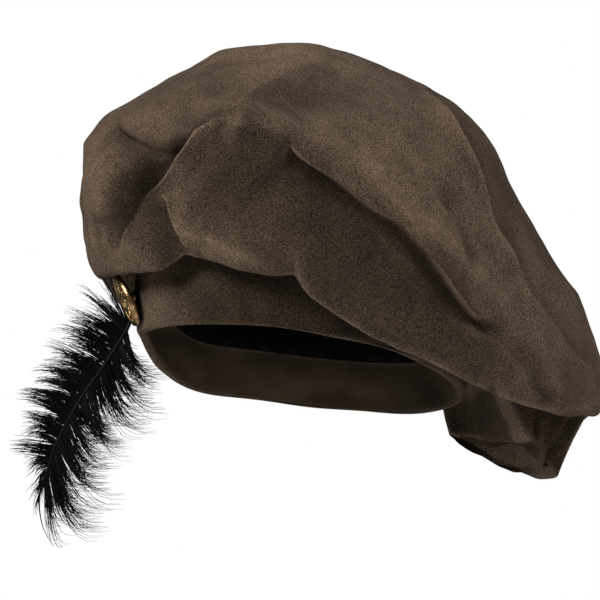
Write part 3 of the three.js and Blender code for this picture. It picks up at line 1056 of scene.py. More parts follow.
# Painted shade on the band, darker to its right and along its top under the crown.
BAND_PAINTED_SHADE_PATCHES = (
    Puff(-0.36, (86, -18), (14, 20)),
    Puff(-0.20, (20, 24), (34, 10)),
    Puff(-0.16, (-67, 37), (26, 14)),
)

# Painted light and shade on the facing: a painted highlight low on the left, painted shade above it and to
# the right.
FACING_PAINTED_SHADING_PATCHES = (
    Puff(0.46, (-58, -6), (34, 7)),
    Puff(0.32, (-14, -14), (34, 6)),
    Puff(-0.26, (0, 5), (60, 7)),
    Puff(-0.22, (-72, 17), (30, 8)),
    Puff(-0.28, (62, -10), (26, 18)),
)

# Painted light and shade along the folds of the crown's front: pale painted rims with painted shade beside
# them.
PAINTED_SHADE_STROKES = (
    Fold("rim shade", 0.1, 10, 26,
         ((-50, 136), (-45, 136), (-35, 132), (-24, 129), (-13, 125), (-2, 116)),
         tuck=0.15, power=1.0, fade=0.12),
    Fold("top line", 0.07, 14, 26,
         ((-42, 137), (-28, 147), (-15, 155), (1, 163), (20, 171)),
         tuck=0.15, power=1.1, fade=0.2),
    Fold("long rim", 0.14, 4, 8,
         ((-3, 117), (12, 108), (23, 100), (32, 93), (42, 86), (52, 80), (64, 68), (74, 57),
          (85, 42), (95, 29), (102, 21)),
         tuck=0.22, power=1.0, fade=0.08),
    Fold("right line", 0.16, 4, 5,
         ((123, 49), (116, 59), (112, 68), (107, 77), (103, 88), (100, 98), (96, 107), (92, 115),
          (87, 125), (84, 134), (79, 143), (73, 151)),
         tuck=0.14, power=1.0, fade=0.1),
    Fold("lobe side", 0.06, 8, 10,
         ((-50, 136), (-57, 130), (-62, 123), (-68, 117), (-75, 108), (-83, 99), (-89, 89),
          (-95, 79), (-99, 70), (-102, 62)),
         tuck=0.16, power=1.0, fade=0.1),
    Fold("lobe C side", 0.1, 6, 10,
         ((-77, 96), (-73, 91), (-70, 85), (-67, 78), (-64, 70), (-59, 64)),
         tuck=0.14, power=1.0, fade=0.15),
    Fold("lower lip", 0.2, 2.2, 1,
         ((53, 12), (70, 3), (86, -6), (108, -16), (125, -22), (136, -25), (147, -23), (160, -23)),
         tuck=0.0, power=1.0, fade=0.05),
    Fold("corner line", 0.15, 2.4, 4.5,
         ((143, -22), (138, -16), (134, -9), (131, 3), (129, 13), (126, 21), (123, 32), (121, 43),
          (119, 54)),
         tuck=0.12, power=1.0, fade=0.1),
    Fold("side line", 0.1, 3, 4,
         ((158, -1), (151, 7), (144, 15), (136, 26), (127, 37), (120, 46)),
         tuck=0.1, power=1.0, fade=0.1),
    Fold("corner crease line", -0.22, 1.8, 2.2,
         ((125, -3), (128, -8), (133, -15), (139, -21)),
         power=1.0, fade=0.2),
    Fold("pinch line", -0.34, 2.2, 2.2, ((97, 30), (99, 24), (102, 17)), power=1.2, fade=0.25),
)

# Painted shade on the facet under the hanging side, and painted light and shade along its crease.
FLOP_PAINTED_SHADE_STROKES = (
    Fold("facet side", -0.42, 19, 8,
         ((118, -41), (116, -31), (112, -24), (109, -18), (104, -9)),
         tuck=-0.1, power=1.8, fade=0.06),
    Fold("crease line", 0.24, 3, 8,
         ((79, -38), (87, -39), (97, -40), (107, -42), (114, -43), (119, -42), (124, -40),
          (130, -36), (137, -33), (145, -30)),
         tuck=0.34, power=1.0, fade=0.04),
)

DRAPES = (
    Drape(5.0, 11.0, ((70, 0.24), (82, 0.36), (100, 0.50), (122, 0.64))),
    Drape(-4.0, 8.0, ((60, 0.22), (70, 0.34), (86, 0.47), (104, 0.58))),
    Drape(4.5, 12.0, ((118, 0.18), (124, 0.32), (138, 0.46), (158, 0.58))),
    Drape(-4.0, 8.0, ((104, 0.16), (112, 0.30), (126, 0.44), (146, 0.55))),
    Drape(4.0, 10.0, ((150, 0.20), (158, 0.34), (168, 0.50))),
    Drape(-3.5, 7.0, ((142, 0.18), (149, 0.32), (160, 0.46))),
    Drape(4.0, 10.0, ((30, 0.22), (36, 0.38), (50, 0.54), (70, 0.68))),
    Drape(-3.5, 8.0, ((18, 0.24), (24, 0.40), (34, 0.54))),
    Drape(3.0, 9.0, ((4, 0.30), (8, 0.46), (14, 0.60))),
)


def painted_shading_from(patches: Sequence[Puff], points: np.ndarray) -> np.ndarray:
    """Works out the painted light and shade from patches.

    Args:
        patches: Patches painted lighter or darker.
        points: Grid of places in mm.

    Returns:
        A number for each place, NEUTRAL_SHADING where nothing is painted.
    """
    places = front_view(points)
    return np.clip(NEUTRAL_SHADING + sum(patch.shape(places) for patch in patches), *PAINTED_SHADING_LIMITS)


@dataclass
class Crown:
    """The big velvet bag over the band, one closed skin with an outer and an inner face."""

    band: HeadBand
    finish: Velvet
    around: int = 436
    crowding: float = 0.56
    rows: int = 212
    inner_rows: int = 12
    wall: float = 1.8
    fold_room: float = 13.0
    narrow_room: float = 7.5
    narrow_azimuth: float = 25.0
    narrow_spread: float = 48.0
    # Painted shade in the fold valleys and painted light on the ridges, per mm of fold height.
    fold_shade_depth: float = 0.035
    seam_gap: float = 0.3
    guide: float = 10.0
    top: tuple[float, float, float] = (-20.0, 10.0, 176.0)
    flat_radius: float = 38.0
    flat_drop: float = 5.0
    gathers: int = 52
    gather_depth: float = 0.6
    lean_power: float = 1.5
    shoulder_span: int = 3
    hollow_rise: float = 0.6
    front_fades: tuple[float, float] = (-8.0, 42.0)
    flop_side: float = 55.0
    flop_front: float = -12.0
    unevenness: tuple[tuple[float, int, float], ...] = ((1.1, 4, 95), (0.45, 9, 34), (0.16, 5, 13))

    def room(self, azimuth: np.ndarray) -> np.ndarray:
        """Gives the room for folds between the two faces, less in the narrow hanging side."""
        turned = azimuth - math.radians(self.narrow_azimuth)
        away = np.arctan2(np.sin(turned), np.cos(turned)) / math.radians(self.narrow_spread)
        return self.fold_room - (self.fold_room - self.narrow_room) * np.exp(-away ** 4)

    def form(self, azimuth: np.ndarray, share: np.ndarray) -> np.ndarray:
        """Works out the crown without its folds.

        Args:
            azimuth: One column of radians.
            share: One row from 0 at the seam to 1 at the top.

        Returns:
            Grid of places in mm.
        """
        table = np.array([section.columns() for section in CROWN_SECTIONS], float)
        angles = np.array([section.azimuth for section in CROWN_SECTIONS], float)
        columns = round_table(angles, table, azimuth[:, 0])
        count = len(columns)
        seam_r = self.band.radius(azimuth[:, 0]) + self.seam_gap
        seam_z = self.band.edge_height(azimuth[:, 0]) + self.band.height + self.seam_gap
        ones = np.ones(count)
        flat = np.stack([self.flat_radius * ones, (self.top[2] - self.flat_drop) * ones], -1)
        knots = np.stack([
            np.stack([seam_r - self.guide, seam_z + self.guide], -1),
            np.stack([seam_r, seam_z], -1),
            columns[:, 0:2], columns[:, 2:4], columns[:, 4:6], columns[:, 6:8],
            flat,
            np.stack([0 * ones, self.top[2] * ones], -1),
            flat * np.array([-1.0, 1.0]),
        ], 1)
        spans = knots.shape[1] - 3
        place = share[0] * spans
        first = np.minimum(np.floor(place).astype(int), spans - 1)
        t = (place - first)[None, :, None]
        cut = spline(knots[:, first], knots[:, first + 1], knots[:, first + 2], knots[:, first + 3], t)
        lean = np.clip(2 * share - 1, 0, 1) ** self.lean_power
        over = np.clip(place - self.shoulder_span, 0, 1)
        hollow = np.sin(over ** self.hollow_rise * math.pi) ** 2
        radius = cut[..., 0] - columns[:, 8:9] * hollow
        return np.stack([radius * np.cos(azimuth) + self.top[0] * lean,
                         radius * np.sin(azimuth) + self.top[1] * lean, cut[..., 1]], -1)

    def front_share(self, points: np.ndarray) -> np.ndarray:
        """Gives how far the front's folds count at each point, from 0 behind to 1 in front."""
        faces_front = np.clip((0.35 - grid_normals(points)[..., 1]) / 0.4, 0, 1)
        return faces_front * (1 - smoothstep(points[..., 1], *self.front_fades))

    def flop_share(self, points: np.ndarray, share: np.ndarray) -> np.ndarray:
        """Gives how far the folds under the hanging side count at each point.

        Args:
            points: Grid of places in mm.
            share: One row from 0 at the seam to 1 at the top.

        Returns:
            A number of 0 to 1 for each place.
        """
        below = np.clip((1.6 - share * 6) * 3, 0, 1) * np.clip(share * 12, 0, 1)
        return below * np.clip((points[..., 0] - self.flop_side) / 12, 0, 1)

    def paint_shading(self, places: np.ndarray, height: np.ndarray, front: np.ndarray,
                 flop: np.ndarray) -> np.ndarray:
        """Works out the painted light and shade from the folds, the patches and the strokes.

        Args:
            places: Places on the front elevation.
            height: How far the folds move each place.
            front: How far the front counts.
            flop: How far the hanging side counts.

        Returns:
            A number for each place.
        """
        # Painted shade in the fold valleys, painted light on the ridges.
        painted_shading = NEUTRAL_SHADING + self.fold_shade_depth * np.clip(height, -5, 4)
        for patch in PAINTED_SHADE_PATCHES:
            painted_shading += patch.shape(places) * front
        for stroke in PAINTED_SHADE_STROKES:
            painted_shading += stroke.shape(places)[0] * front
        for patch in FLOP_PAINTED_SHADE_PATCHES:
            painted_shading += patch.shape(places) * flop
        for stroke in FLOP_PAINTED_SHADE_STROKES:
            painted_shading += stroke.shape(places)[0] * flop
        return painted_shading

    def folded(self, azimuth: np.ndarray, share: np.ndarray) -> tuple[np.ndarray, np.ndarray]:
        """Works out the crown with its folds, gathers and small unevenness.

        Args:
            azimuth: One column of radians.
            share: One row from 0 at the seam to 1 at the top.

        Returns:
            Grid of places in mm, and the painted light and shade at each.
        """
        points = self.form(azimuth, share)
        normals = grid_normals(points)
        near_front = self.front_share(points)
        ends = np.clip((1 - share) * 6, 0, 1) * np.clip(share * 6, 0, 1) ** 2
        mask = near_front * ends
        places = front_view(points)
        height = np.zeros(points.shape[:2])
        pull = np.zeros_like(points)
        flop = self.flop_share(points, share)
        back_of_flop = np.clip((points[..., 1] - self.flop_front) / 10, 0, 1)
        for fold in FLOP_FOLDS:
            height += fold.shape(places)[0] * flop * back_of_flop
        for fold in FRONT_FOLDS:
            out, drag = fold.shape(places)
            height += out * mask
            pull += (drag * mask)[..., None] * np.array([fold.pull[0], 0.0, fold.pull[1]])
        for puff in FRONT_PUFFS:
            height += puff.shape(places) * mask
        painted_shading = self.paint_shading(places, height, near_front, flop)
        away = 1 - near_front
        for drape in DRAPES:
            height += drape.height * drape.weight(azimuth, share) * away * ends
        seam = np.exp(-((share * 6 - 0.35) / 0.5) ** 2) * np.clip(share * 10, 0, 1) * (1 - flop)
        wander = 1.6 * np.sin(azimuth * 3 + 0.7) + 1.1 * np.sin(azimuth * 7 + 2.1)
        height += self.gather_depth * seam * np.sin(azimuth * self.gathers + wander)
        height = np.maximum(height, 1 - self.room(azimuth))
        points = points + normals * height[..., None] + pull
        normals = grid_normals(points)
        uneven = sum(depth * Waves(seed, size).at(points) for depth, seed, size in self.unevenness)
        points = points + normals * (uneven * ends)[..., None]
        return relax(points, 2), np.clip(painted_shading, *PAINTED_SHADING_LIMITS)

    def inner(self, azimuth: np.ndarray) -> np.ndarray:
        """Works out the inner face, from the top down to the seam, clear of the folds."""
        share = np.linspace(0, 1, self.inner_rows + 1)[None, :]
        points = self.form(azimuth, share)
        room = self.room(azimuth) * np.clip(share * 6, 0, 1) * np.clip((1 - share) * 6, 0, 1)
        points = points - grid_normals(points) * (self.wall + room)[..., None]
        return points[:, ::-1]

    def build(self) -> bpy.types.Object:
        """Makes and dresses the crown."""
        azimuth = crowded_azimuths(self.around, self.crowding)
        share = np.linspace(0, 1, self.rows + 1)[None, :]
        inside = self.inner(azimuth)
        outside, painted_shading = self.folded(azimuth, share)
        skin = np.concatenate([inside, outside], 1)
        even = np.full(inside.shape[:2], NEUTRAL_SHADING)
        piece = wrap_grid("crown_velvet", skin, painted_shading=np.concatenate([even, painted_shading], 1))
        dress(piece, self.finish.build("velvet_crown"), ("crown",))
        return piece


def ring_profile(corners: Points, steps: int = 3) -> np.ndarray:
    """Rounds a closed profile.

    Args:
        corners: Out and up of each corner, in order.
        steps: Steps between two corners.

    Returns:
        Out and up of each row, without the closing one.
    """
    points = np.array(corners, float)
    count = len(points)
    t = np.linspace(0, 1, steps, endpoint=False)[:, None]
    runs = [spline(*(points[(i + k - 1) % count] for k in range(4)), t) for i in range(count)]
    return np.concatenate(runs)


@dataclass
class Band:
    """The velvet band under the crown, its edge turned in round the opening."""

    band: HeadBand
    finish: Velvet
    around: int = 420
    steps: int = 4
    profile: Points = (
        (0.0, 1.6), (0.45, 6.0), (0.9, 14.0), (1.0, 22.0), (0.8, 31.0), (0.3, 39.0), (-0.3, 43.4),
        (-1.5, 44.0), (-2.6, 43.0), (-2.9, 34.0), (-3.0, 22.0), (-3.0, 10.0), (-3.2, 3.0),
        (-3.9, 2.4), (-4.2, 1.5), (-3.8, 0.3), (-2.6, -0.3), (-1.2, 0.0))

    def build(self) -> bpy.types.Object:
        """Makes and dresses the band."""
        azimuth = crowded_azimuths(self.around)
        rows = ring_profile(self.profile, self.steps)
        points = self.band.point(azimuth, rows[None, :, 0], rows[None, :, 1])
        outside = smoothstep(rows[None, :, 0], -1.5, 0.0)
        low = 1 - smoothstep(rows[None, :, 1], 0.0, 26.0)
        out = np.stack([np.cos(azimuth), np.sin(azimuth), 0 * azimuth], -1)
        swell = 0.7 * Waves(3, 60).at(points) + 0.3 * Waves(8, 24).at(points)
        ribs = 0.16 * np.sin(points[..., 2] * 2.3 + 1.5 * Waves(6, 30).at(points))
        points = points + out * (swell * outside + ribs * outside * (1 - low))[..., None]
        points[..., 2] += 0.6 * Waves(7, 70).at(points) * low
        # Painted shade on the band, stored on its cloth.
        piece = wrap_grid("band_velvet", points, ring=True, painted_shading=painted_shading_from(BAND_PAINTED_SHADE_PATCHES, points))
        dress(piece, self.finish.build("velvet_band"), ("band",))
        return piece


@dataclass
class Facing:
    """The smooth facing inside the band, with the seam bead along its top."""

    band: HeadBand
    finish: Satin
    around: int = 360
    steps: int = 4
    profile: Points = ((-3.5, 2.9), (-3.3, 10.0), (-3.3, 20.0), (-3.3, 28.4), (-3.9, 29.6), (-4.9, 29.4),
                       (-5.2, 28.4), (-4.7, 27.4), (-4.5, 20.0), (-4.5, 10.0), (-4.8, 2.6), (-4.5, 1.3))

    def build(self) -> bpy.types.Object:
        """Makes and dresses the facing."""
        azimuth = crowded_azimuths(self.around)
        rows = ring_profile(self.profile, self.steps)
        points = self.band.point(azimuth, rows[None, :, 0], rows[None, :, 1])
        out = np.stack([np.cos(azimuth), np.sin(azimuth), 0 * azimuth], -1)
        middle = np.sin(np.clip((rows[None, :, 1] - 3) / 26, 0, 1) * math.pi)
        inner = smoothstep(-rows[None, :, 0], 3.4, 4.4)
        wave = 0.8 * Waves(12, 45).at(points) - 0.5
        crease = -1.6 * np.exp(-((np.degrees(azimuth) - 27) / 3.0) ** 2)
        points = points + out * ((wave + crease) * middle * inner)[..., None]
        # Painted light and shade on the facing, stored on its cloth.
        piece = wrap_grid("facing_satin", points, ring=True, painted_shading=painted_shading_from(FACING_PAINTED_SHADING_PATCHES, points))
        dress(piece, self.finish.build("satin_facing"), ("inner_band",))
        return piece


@dataclass
class Lining:
    """The dark lining, gathered on to the facing and closed over the head."""

    band: HeadBand
    finish: LiningCloth
    around: int = 480
    straight_rows: int = 10
    dome_rows: int = 30
    foot: float = 28.0
    straight_top: float = 42.0
    dome_top: float = 105.0
    pleats: int = 44
    inset: float = 3.4
    pleat_ease: float = 0.3
    pleat_depth: float = 1.9
    pleat_power: float = 0.6
    wall: float = 0.7

    def build(self) -> bpy.types.Object:
        """Makes and dresses the lining."""
        azimuth = crowded_azimuths(self.around)
        ups = np.linspace(self.foot, self.straight_top, self.straight_rows, endpoint=False)
        domes = np.linspace(0, 1, self.dome_rows)
        up = np.concatenate([ups, np.full(len(domes), self.straight_top)])[None, :]
        dome = np.concatenate([np.zeros(len(ups)), domes])[None, :]
        wander = 1.5 * np.sin(azimuth * 2 + 0.4) + 1.2 * np.sin(azimuth * 5 + 1.9)
        pleat = np.sin(azimuth * self.pleats + wander + 0.02 * (up - self.foot))
        sharp = 0.5 + 0.5 * np.sign(pleat) * np.abs(pleat) ** self.pleat_power
        grown = smoothstep(up, self.foot, self.foot + 5) * np.cos(dome * math.pi / 2)
        inwards = self.inset + (self.pleat_ease + self.pleat_depth * sharp) * grown
        points = self.band.point(azimuth, -inwards, up)
        bend = dome * math.pi / 2
        points[..., 0] *= np.cos(bend)
        points[..., 1] *= np.cos(bend)
        points[..., 2] += (self.dome_top - points[..., 2]) * np.sin(bend)
        points[:, -1, 0:2] = 0.0
        points[:, -1, 2] = self.dome_top
        piece = wrap_grid("lining_cloth", points)
        thicken(piece, self.wall)
        dress(piece, self.finish.build("lining_black"), ("lining",))
        return piece


@dataclass
class Button:
    """The round gold button: bevelled wall, beaded rim, petals and a boss."""

    band: HeadBand
    finish: AgedGold
    azimuth: float = 208.0
    band_height: float = 16.3
    stand_off: float = 7.6
    lean: float = 24.0
    turn: float = 12.0
    radius: float = 15.0
    half: float = 1.7
    beads: int = 44
    petals: int = 10
    studs: int = 20
    bead_inset: float = 3.75
    petal_ring: float = 7.1
    tip_ring: float = 8.2
    stud_ring: float = 4.9
    bead_size: tuple[float, float, float] = (0.72, 0.72, 0.72)
    petal_size: tuple[float, float, float] = (1.9, 1.05, 0.85)
    tip_size: tuple[float, float, float] = (0.6, 0.6, 0.6)
    stud_size: tuple[float, float, float] = (0.45, 0.45, 0.5)
    shank_radius: float = 2.6
    shank_length: float = 4.6

    def profile(self) -> Points:
        """Lists radius and height of the disc's turned outline, back to front."""
        r, h = self.radius, self.half
        return (
            (0.0, -h), (r - 1.6, -h), (r - 0.5, -h + 0.5), (r, -h + 1.4), (r - 0.35, h - 0.6),
            (r - 0.8, h), (r - 1.1, h + 0.45), (r - 1.9, h + 0.6), (r - 2.5, h + 0.1),
            (r - 2.9, h - 0.4), (r - 4.6, h - 0.4), (r - 5.0, h + 0.1), (r - 5.5, h + 0.1),
            (r - 6.0, h - 0.3), (r - 9.6, h + 0.1), (r - 10.2, h + 1.1), (r - 11.5, h + 2.0),
            (r - 13.2, h + 2.5), (0.0, h + 2.6))

    def turned(self, bm: bmesh.types.BMesh) -> None:
        """Spins the outline into the disc."""
        verts = [bm.verts.new((r * MM, 0.0, z * MM)) for r, z in self.profile()]
        edges = [bm.edges.new(pair) for pair in zip(verts[:-1], verts[1:])]
        bmesh.ops.spin(bm, geom=verts + edges, cent=(0, 0, 0), axis=(0, 0, 1), angle=2 * math.pi, steps=96,
                       use_merge=True)
        bmesh.ops.remove_doubles(bm, verts=bm.verts, dist=1e-6)
        bmesh.ops.recalc_face_normals(bm, faces=bm.faces)

    def ball(self, bm: bmesh.types.BMesh, ring: float, angle: float, height: float,
             size: tuple[float, float, float], turn: float = 0.0, fine: int = 2) -> None:
        """Adds a ball or a petal on the face.

        Args:
            bm: Mesh to add to.
            ring: Distance from the button's axis in mm.
            angle: Radians about the axis.
            height: Height of its centre in mm.
            size: Half sizes in mm.
            turn: Radians that it is turned about its own centre.
            fine: Subdivisions.
        """
        place = Vector((ring * math.cos(angle), ring * math.sin(angle), height))
        matrix = (Matrix.Translation(place * MM) @ Matrix.Rotation(turn, 4, "Z")
                  @ Matrix.Diagonal((*(Vector(size) * MM), 1.0)))
        bmesh.ops.create_icosphere(bm, subdivisions=fine, radius=1.0, matrix=matrix)

    def raised(self, bm: bmesh.types.BMesh) -> None:
        """Adds the beads, petals, studs and the shank."""
        face = self.half
        for bead in range(self.beads):
            angle = 2 * math.pi * bead / self.beads
            self.ball(bm, self.radius - self.bead_inset, angle, face, self.bead_size)
        for petal in range(self.petals):
            angle = 2 * math.pi * petal / self.petals
            self.ball(bm, self.petal_ring, angle, face, self.petal_size, angle)
            self.ball(bm, self.tip_ring, angle, face + 0.35, self.tip_size)
        for stud in range(self.studs):
            angle = 2 * math.pi * (stud + 0.5) / self.studs
            self.ball(bm, self.stud_ring, angle, face + 0.2, self.stud_size, fine=1)
        middle = -self.half - self.shank_length / 2 + 0.2
        bmesh.ops.create_cone(bm, cap_ends=True, segments=24, radius1=self.shank_radius * MM,
                              radius2=self.shank_radius * MM, depth=self.shank_length * MM,
                              matrix=Matrix.Translation((0, 0, middle * MM)))

    def placed(self) -> Matrix:
        """Gives the button's place on the band, its axis along the face's direction."""
        azimuth = math.radians(self.azimuth)
        centre = self.band.point(np.array(azimuth), self.stand_off, self.band_height)
        face = Vector((-math.cos(math.radians(self.lean)), 0.0, -math.sin(math.radians(self.lean))))
        face.rotate(Matrix.Rotation(math.radians(self.turn), 3, "Z"))
        turn = Vector((0, 0, 1)).rotation_difference(face).to_matrix().to_4x4()
        return Matrix.Translation(Vector(centre.tolist()) * MM) @ turn

    def build(self) -> bpy.types.Object:
        """Makes and dresses the button."""
        bm = bmesh.new()
        self.turned(bm)
        self.raised(bm)
        bmesh.ops.transform(bm, matrix=self.placed(), verts=bm.verts)
        piece = finish_mesh("button_gold", bm)
        dress(piece, self.finish.build("gold_aged"), ("button",))
        return piece


@dataclass(frozen=True)
class Reach:
    """Where the barbs end beside the quill, in mm from their root."""

    along: float
    left: tuple[float, float]
    right: tuple[float, float]


REACHES = (
    Reach(0.00, (-15, 28), (17, -26)),
    Reach(0.07, (-27, 23), (21, -27)),
    Reach(0.15, (-33, 18), (24, -28)),
    Reach(0.26, (-32, 14), (26, -31)),
    Reach(0.34, (-31, 12), (22, -31)),
    Reach(0.40, (-30, 12), (12, -24)),
    Reach(0.47, (-29, 11), (23, -26)),
    Reach(0.60, (-28, 10), (29, -26)),
    Reach(0.78, (-21, 5), (30, -33)),
    Reach(0.88, (-17, 1), (26, -38)),
    Reach(0.95, (-9, -8), (16, -38)),
    Reach(1.00, (-3, -22), (7, -35)),
)


@dataclass
class Plume:
    """The ostrich feather: a quill with clumps of long barbs and their fluff."""

    band: HeadBand
    finish: Feather
    quill_azimuth: float = 190.0
    quill_up: float = 24.0
    quill_out: float = 1.8
    path: tuple[tuple[float, float, float], ...] = (
        (-94, -23, 25), (-100.6, -24, 13), (-110, -25, -1.5), (-119, -26, -14), (-127.7, -27, -29),
        (-134.2, -28, -42.6), (-139.6, -29, -60))
    tail: tuple[tuple[float, float, float], ...] = (
        (-142.3, -29, -70.8), (-140.6, -29, -84), (-135, -29, -96))
    root_radius: float = 1.25
    tip_radius: float = 0.35
    clumps: int = 32
    barbs: int = 26
    barb_radius: float = 0.25
    under_barbs: int = 150
    fluff: int = 9
    fluff_radius: float = 0.10
    steps: int = 7
    seed: int = 11

    def shaft(self) -> np.ndarray:
        """Works out the quill's visible line from the button to its tip."""
        return smooth_path(self.path, 10)

    def on_shaft(self, along: float) -> np.ndarray:
        """Finds a place on the quill, along from 0 at the button to 1 at the tip."""
        line = self.shaft()
        at = np.clip(along, 0, 1) * (len(line) - 1)
        first = min(int(at), len(line) - 2)
        return line[first] + (line[first + 1] - line[first]) * (at - first)

    def reach(self, side: Side, along: float) -> np.ndarray:
        """Reads how far the barbs reach at a place on the quill."""
        places = [row.along for row in REACHES]
        ends = np.array([row.left if side is Side.LEFT else row.right for row in REACHES], float)
        return np.array([np.interp(along, places, ends[:, 0]), np.interp(along, places, ends[:, 1])])

    def strands(self, name: str, lines: Sequence[np.ndarray],
                radii: Sequence[np.ndarray]) -> bpy.types.Object:
        """Makes many thin tapering strands as one mesh.

        Args:
            name: Name of the piece.
            lines: Points of each strand in mm.
            radii: Radius at each point in mm.

        Returns:
            The new object.
        """
        curve = bpy.data.curves.new(name, "CURVE")
        curve.dimensions = "3D"
        curve.bevel_depth = MM
        curve.bevel_resolution = 0
        curve.resolution_u = 1
        curve.use_fill_caps = True
        for line, radius in zip(lines, radii):
            strand = curve.splines.new("POLY")
            strand.points.add(len(line) - 1)
            places = np.column_stack([line * MM, np.ones(len(line))])
            strand.points.foreach_set("co", places.ravel())
            strand.points.foreach_set("radius", radius)
        holder = bpy.data.objects.new(name, curve)
        bpy.context.collection.objects.link(holder)
        graph = bpy.context.evaluated_depsgraph_get()
        mesh = bpy.data.meshes.new_from_object(holder.evaluated_get(graph))
        mesh.name = name
        bpy.data.objects.remove(holder)
        bpy.data.curves.remove(curve)
        piece = bpy.data.objects.new(name, mesh)
        bpy.context.collection.objects.link(piece)
        for polygon in mesh.polygons:
            polygon.use_smooth = True
        return piece

    def barb(self, side: Side, root: np.ndarray, tip: np.ndarray, depth: float, curl: float) -> np.ndarray:
        """Bends one barb from the quill to its tip.

        Args:
            side: Side of the quill.
            root: Place on the quill.
            tip: Reach along x and z.
            depth: How far its tip stands towards the back.
            curl: How strongly it bends.

        Returns:
            Points along the barb.
        """
        t = np.linspace(0, 1, self.steps + 1)[:, None]
        end = root + np.array([tip[0], depth, tip[1]])
        if side is Side.LEFT:
            bend = root + np.array([tip[0] * 0.45, depth * 0.3, tip[1] * 0.45 + 3.0 * curl])
            far = root + np.array([tip[0] * 0.8, depth * 0.7, tip[1] * 0.85 + 2.0 * curl])
        else:
            bend = root + np.array([tip[0] * 0.20, depth * 0.3, tip[1] * 0.50])
            far = root + np.array([tip[0] * 0.42 - 2.0 * curl, depth * 0.7, tip[1] * 1.12])
        return ((1 - t) ** 3 * root + 3 * t * (1 - t) ** 2 * bend
                + 3 * t ** 2 * (1 - t) * far + t ** 3 * end)

    def side_strands(self, side: Side) -> tuple[list[np.ndarray], list[np.ndarray]]:
        """Lays out one side's barbs and the fluff on them.

        Args:
            side: Side of the quill.

        Returns:
            Points and radii of each strand.
        """
        rng = np.random.default_rng(self.seed + (side is Side.RIGHT))
        lines: list[np.ndarray] = []
        radii: list[np.ndarray] = []
        first = 0.0 if side is Side.LEFT else 0.05
        for along in np.linspace(first, 1.0, self.under_barbs):
            tip = (self.reach(side, along) + rng.normal(0, 2.0, 2)) * rng.uniform(0.30, 0.62)
            line = self.barb(side, self.on_shaft(along), tip, rng.normal(0, 3.0), rng.uniform(0.3, 1.2))
            lines.append(line)
            radii.append(self.barb_radius * (1 - 0.7 * np.linspace(0, 1, len(line))))
            self.add_fluff(rng, line, lines, radii)
        for clump in range(self.clumps):
            middle = first + (1 - first) * (clump + rng.uniform(0.2, 0.8)) / self.clumps
            length = rng.uniform(0.78, 1.24)
            lean = rng.normal(0, 2.6, 2)
            depth = rng.normal(0, 5.5)
            curl = rng.uniform(0.3, 1.6)
            for _ in range(self.barbs):
                along = float(np.clip(middle + rng.normal(0, 0.012), 0, 1))
                root = self.on_shaft(along)
                scale = length * rng.uniform(0.48, 1.02)
                tip = (self.reach(side, along) + lean + rng.normal(0, 0.9, 2)) * scale
                line = self.barb(side, root, tip, depth * scale + rng.normal(0, 1.4),
                                 curl * rng.uniform(0.7, 1.3))
                t = np.linspace(0, 1, len(line))
                wave = 0.35 * np.sin(t * rng.uniform(5, 11) + rng.uniform(0, 6))[:, None] * t[:, None]
                line = line + wave * rng.normal(0, 1, 3)
                lines.append(line)
                radii.append(self.barb_radius * (1 - 0.84 * t ** 1.3))
                self.add_fluff(rng, line, lines, radii)
        return lines, radii

    def add_fluff(self, rng: np.random.Generator, barb: np.ndarray, lines: list[np.ndarray],
                  radii: list[np.ndarray]) -> None:
        """Adds the fine barbules along a barb.

        Args:
            rng: Source of chance.
            barb: Points of the barb.
            lines: List that takes the new points.
            radii: List that takes the new radii.
        """
        for t in rng.uniform(0.02, 0.97, self.fluff) ** 1.3:
            at = t * (len(barb) - 1)
            first = min(int(at), len(barb) - 2)
            run = barb[first + 1] - barb[first]
            root = barb[first] + run * (at - first)
            along = run / np.linalg.norm(run)
            side = np.cross(along, rng.normal(0, 1, 3))
            side /= np.linalg.norm(side) + 1e-9
            length = rng.uniform(1.2, 2.8) * (1 - 0.72 * t)
            tip = root + (along * 0.8 + side * 0.6) * length
            lines.append(np.stack([root, tip]))
            radii.append(np.array([self.fluff_radius, 0.015]))

    def build(self) -> list[bpy.types.Object]:
        """Makes and dresses the quill and the barbs of both sides."""
        material = self.finish.build("feather_black")
        azimuth = np.array(math.radians(self.quill_azimuth))
        root = self.band.point(azimuth, self.quill_out, self.quill_up)
        line = smooth_path((tuple(root), *self.path, *self.tail), 8)
        t = np.linspace(0, 1, len(line))
        radius = self.root_radius * (1 - t) ** 0.8 + self.tip_radius * t * (1 - t) * 2 + 0.03
        quill = self.strands("plume_quill", [line], [radius])
        dress(quill, material, ("plume",))
        pieces = [quill]
        for side in Side:
            lines, radii = self.side_strands(side)
            piece = self.strands(f"plume_barbs_{side.value}", lines, radii)
            dress(piece, material)
            pieces.append(piece)
        return pieces


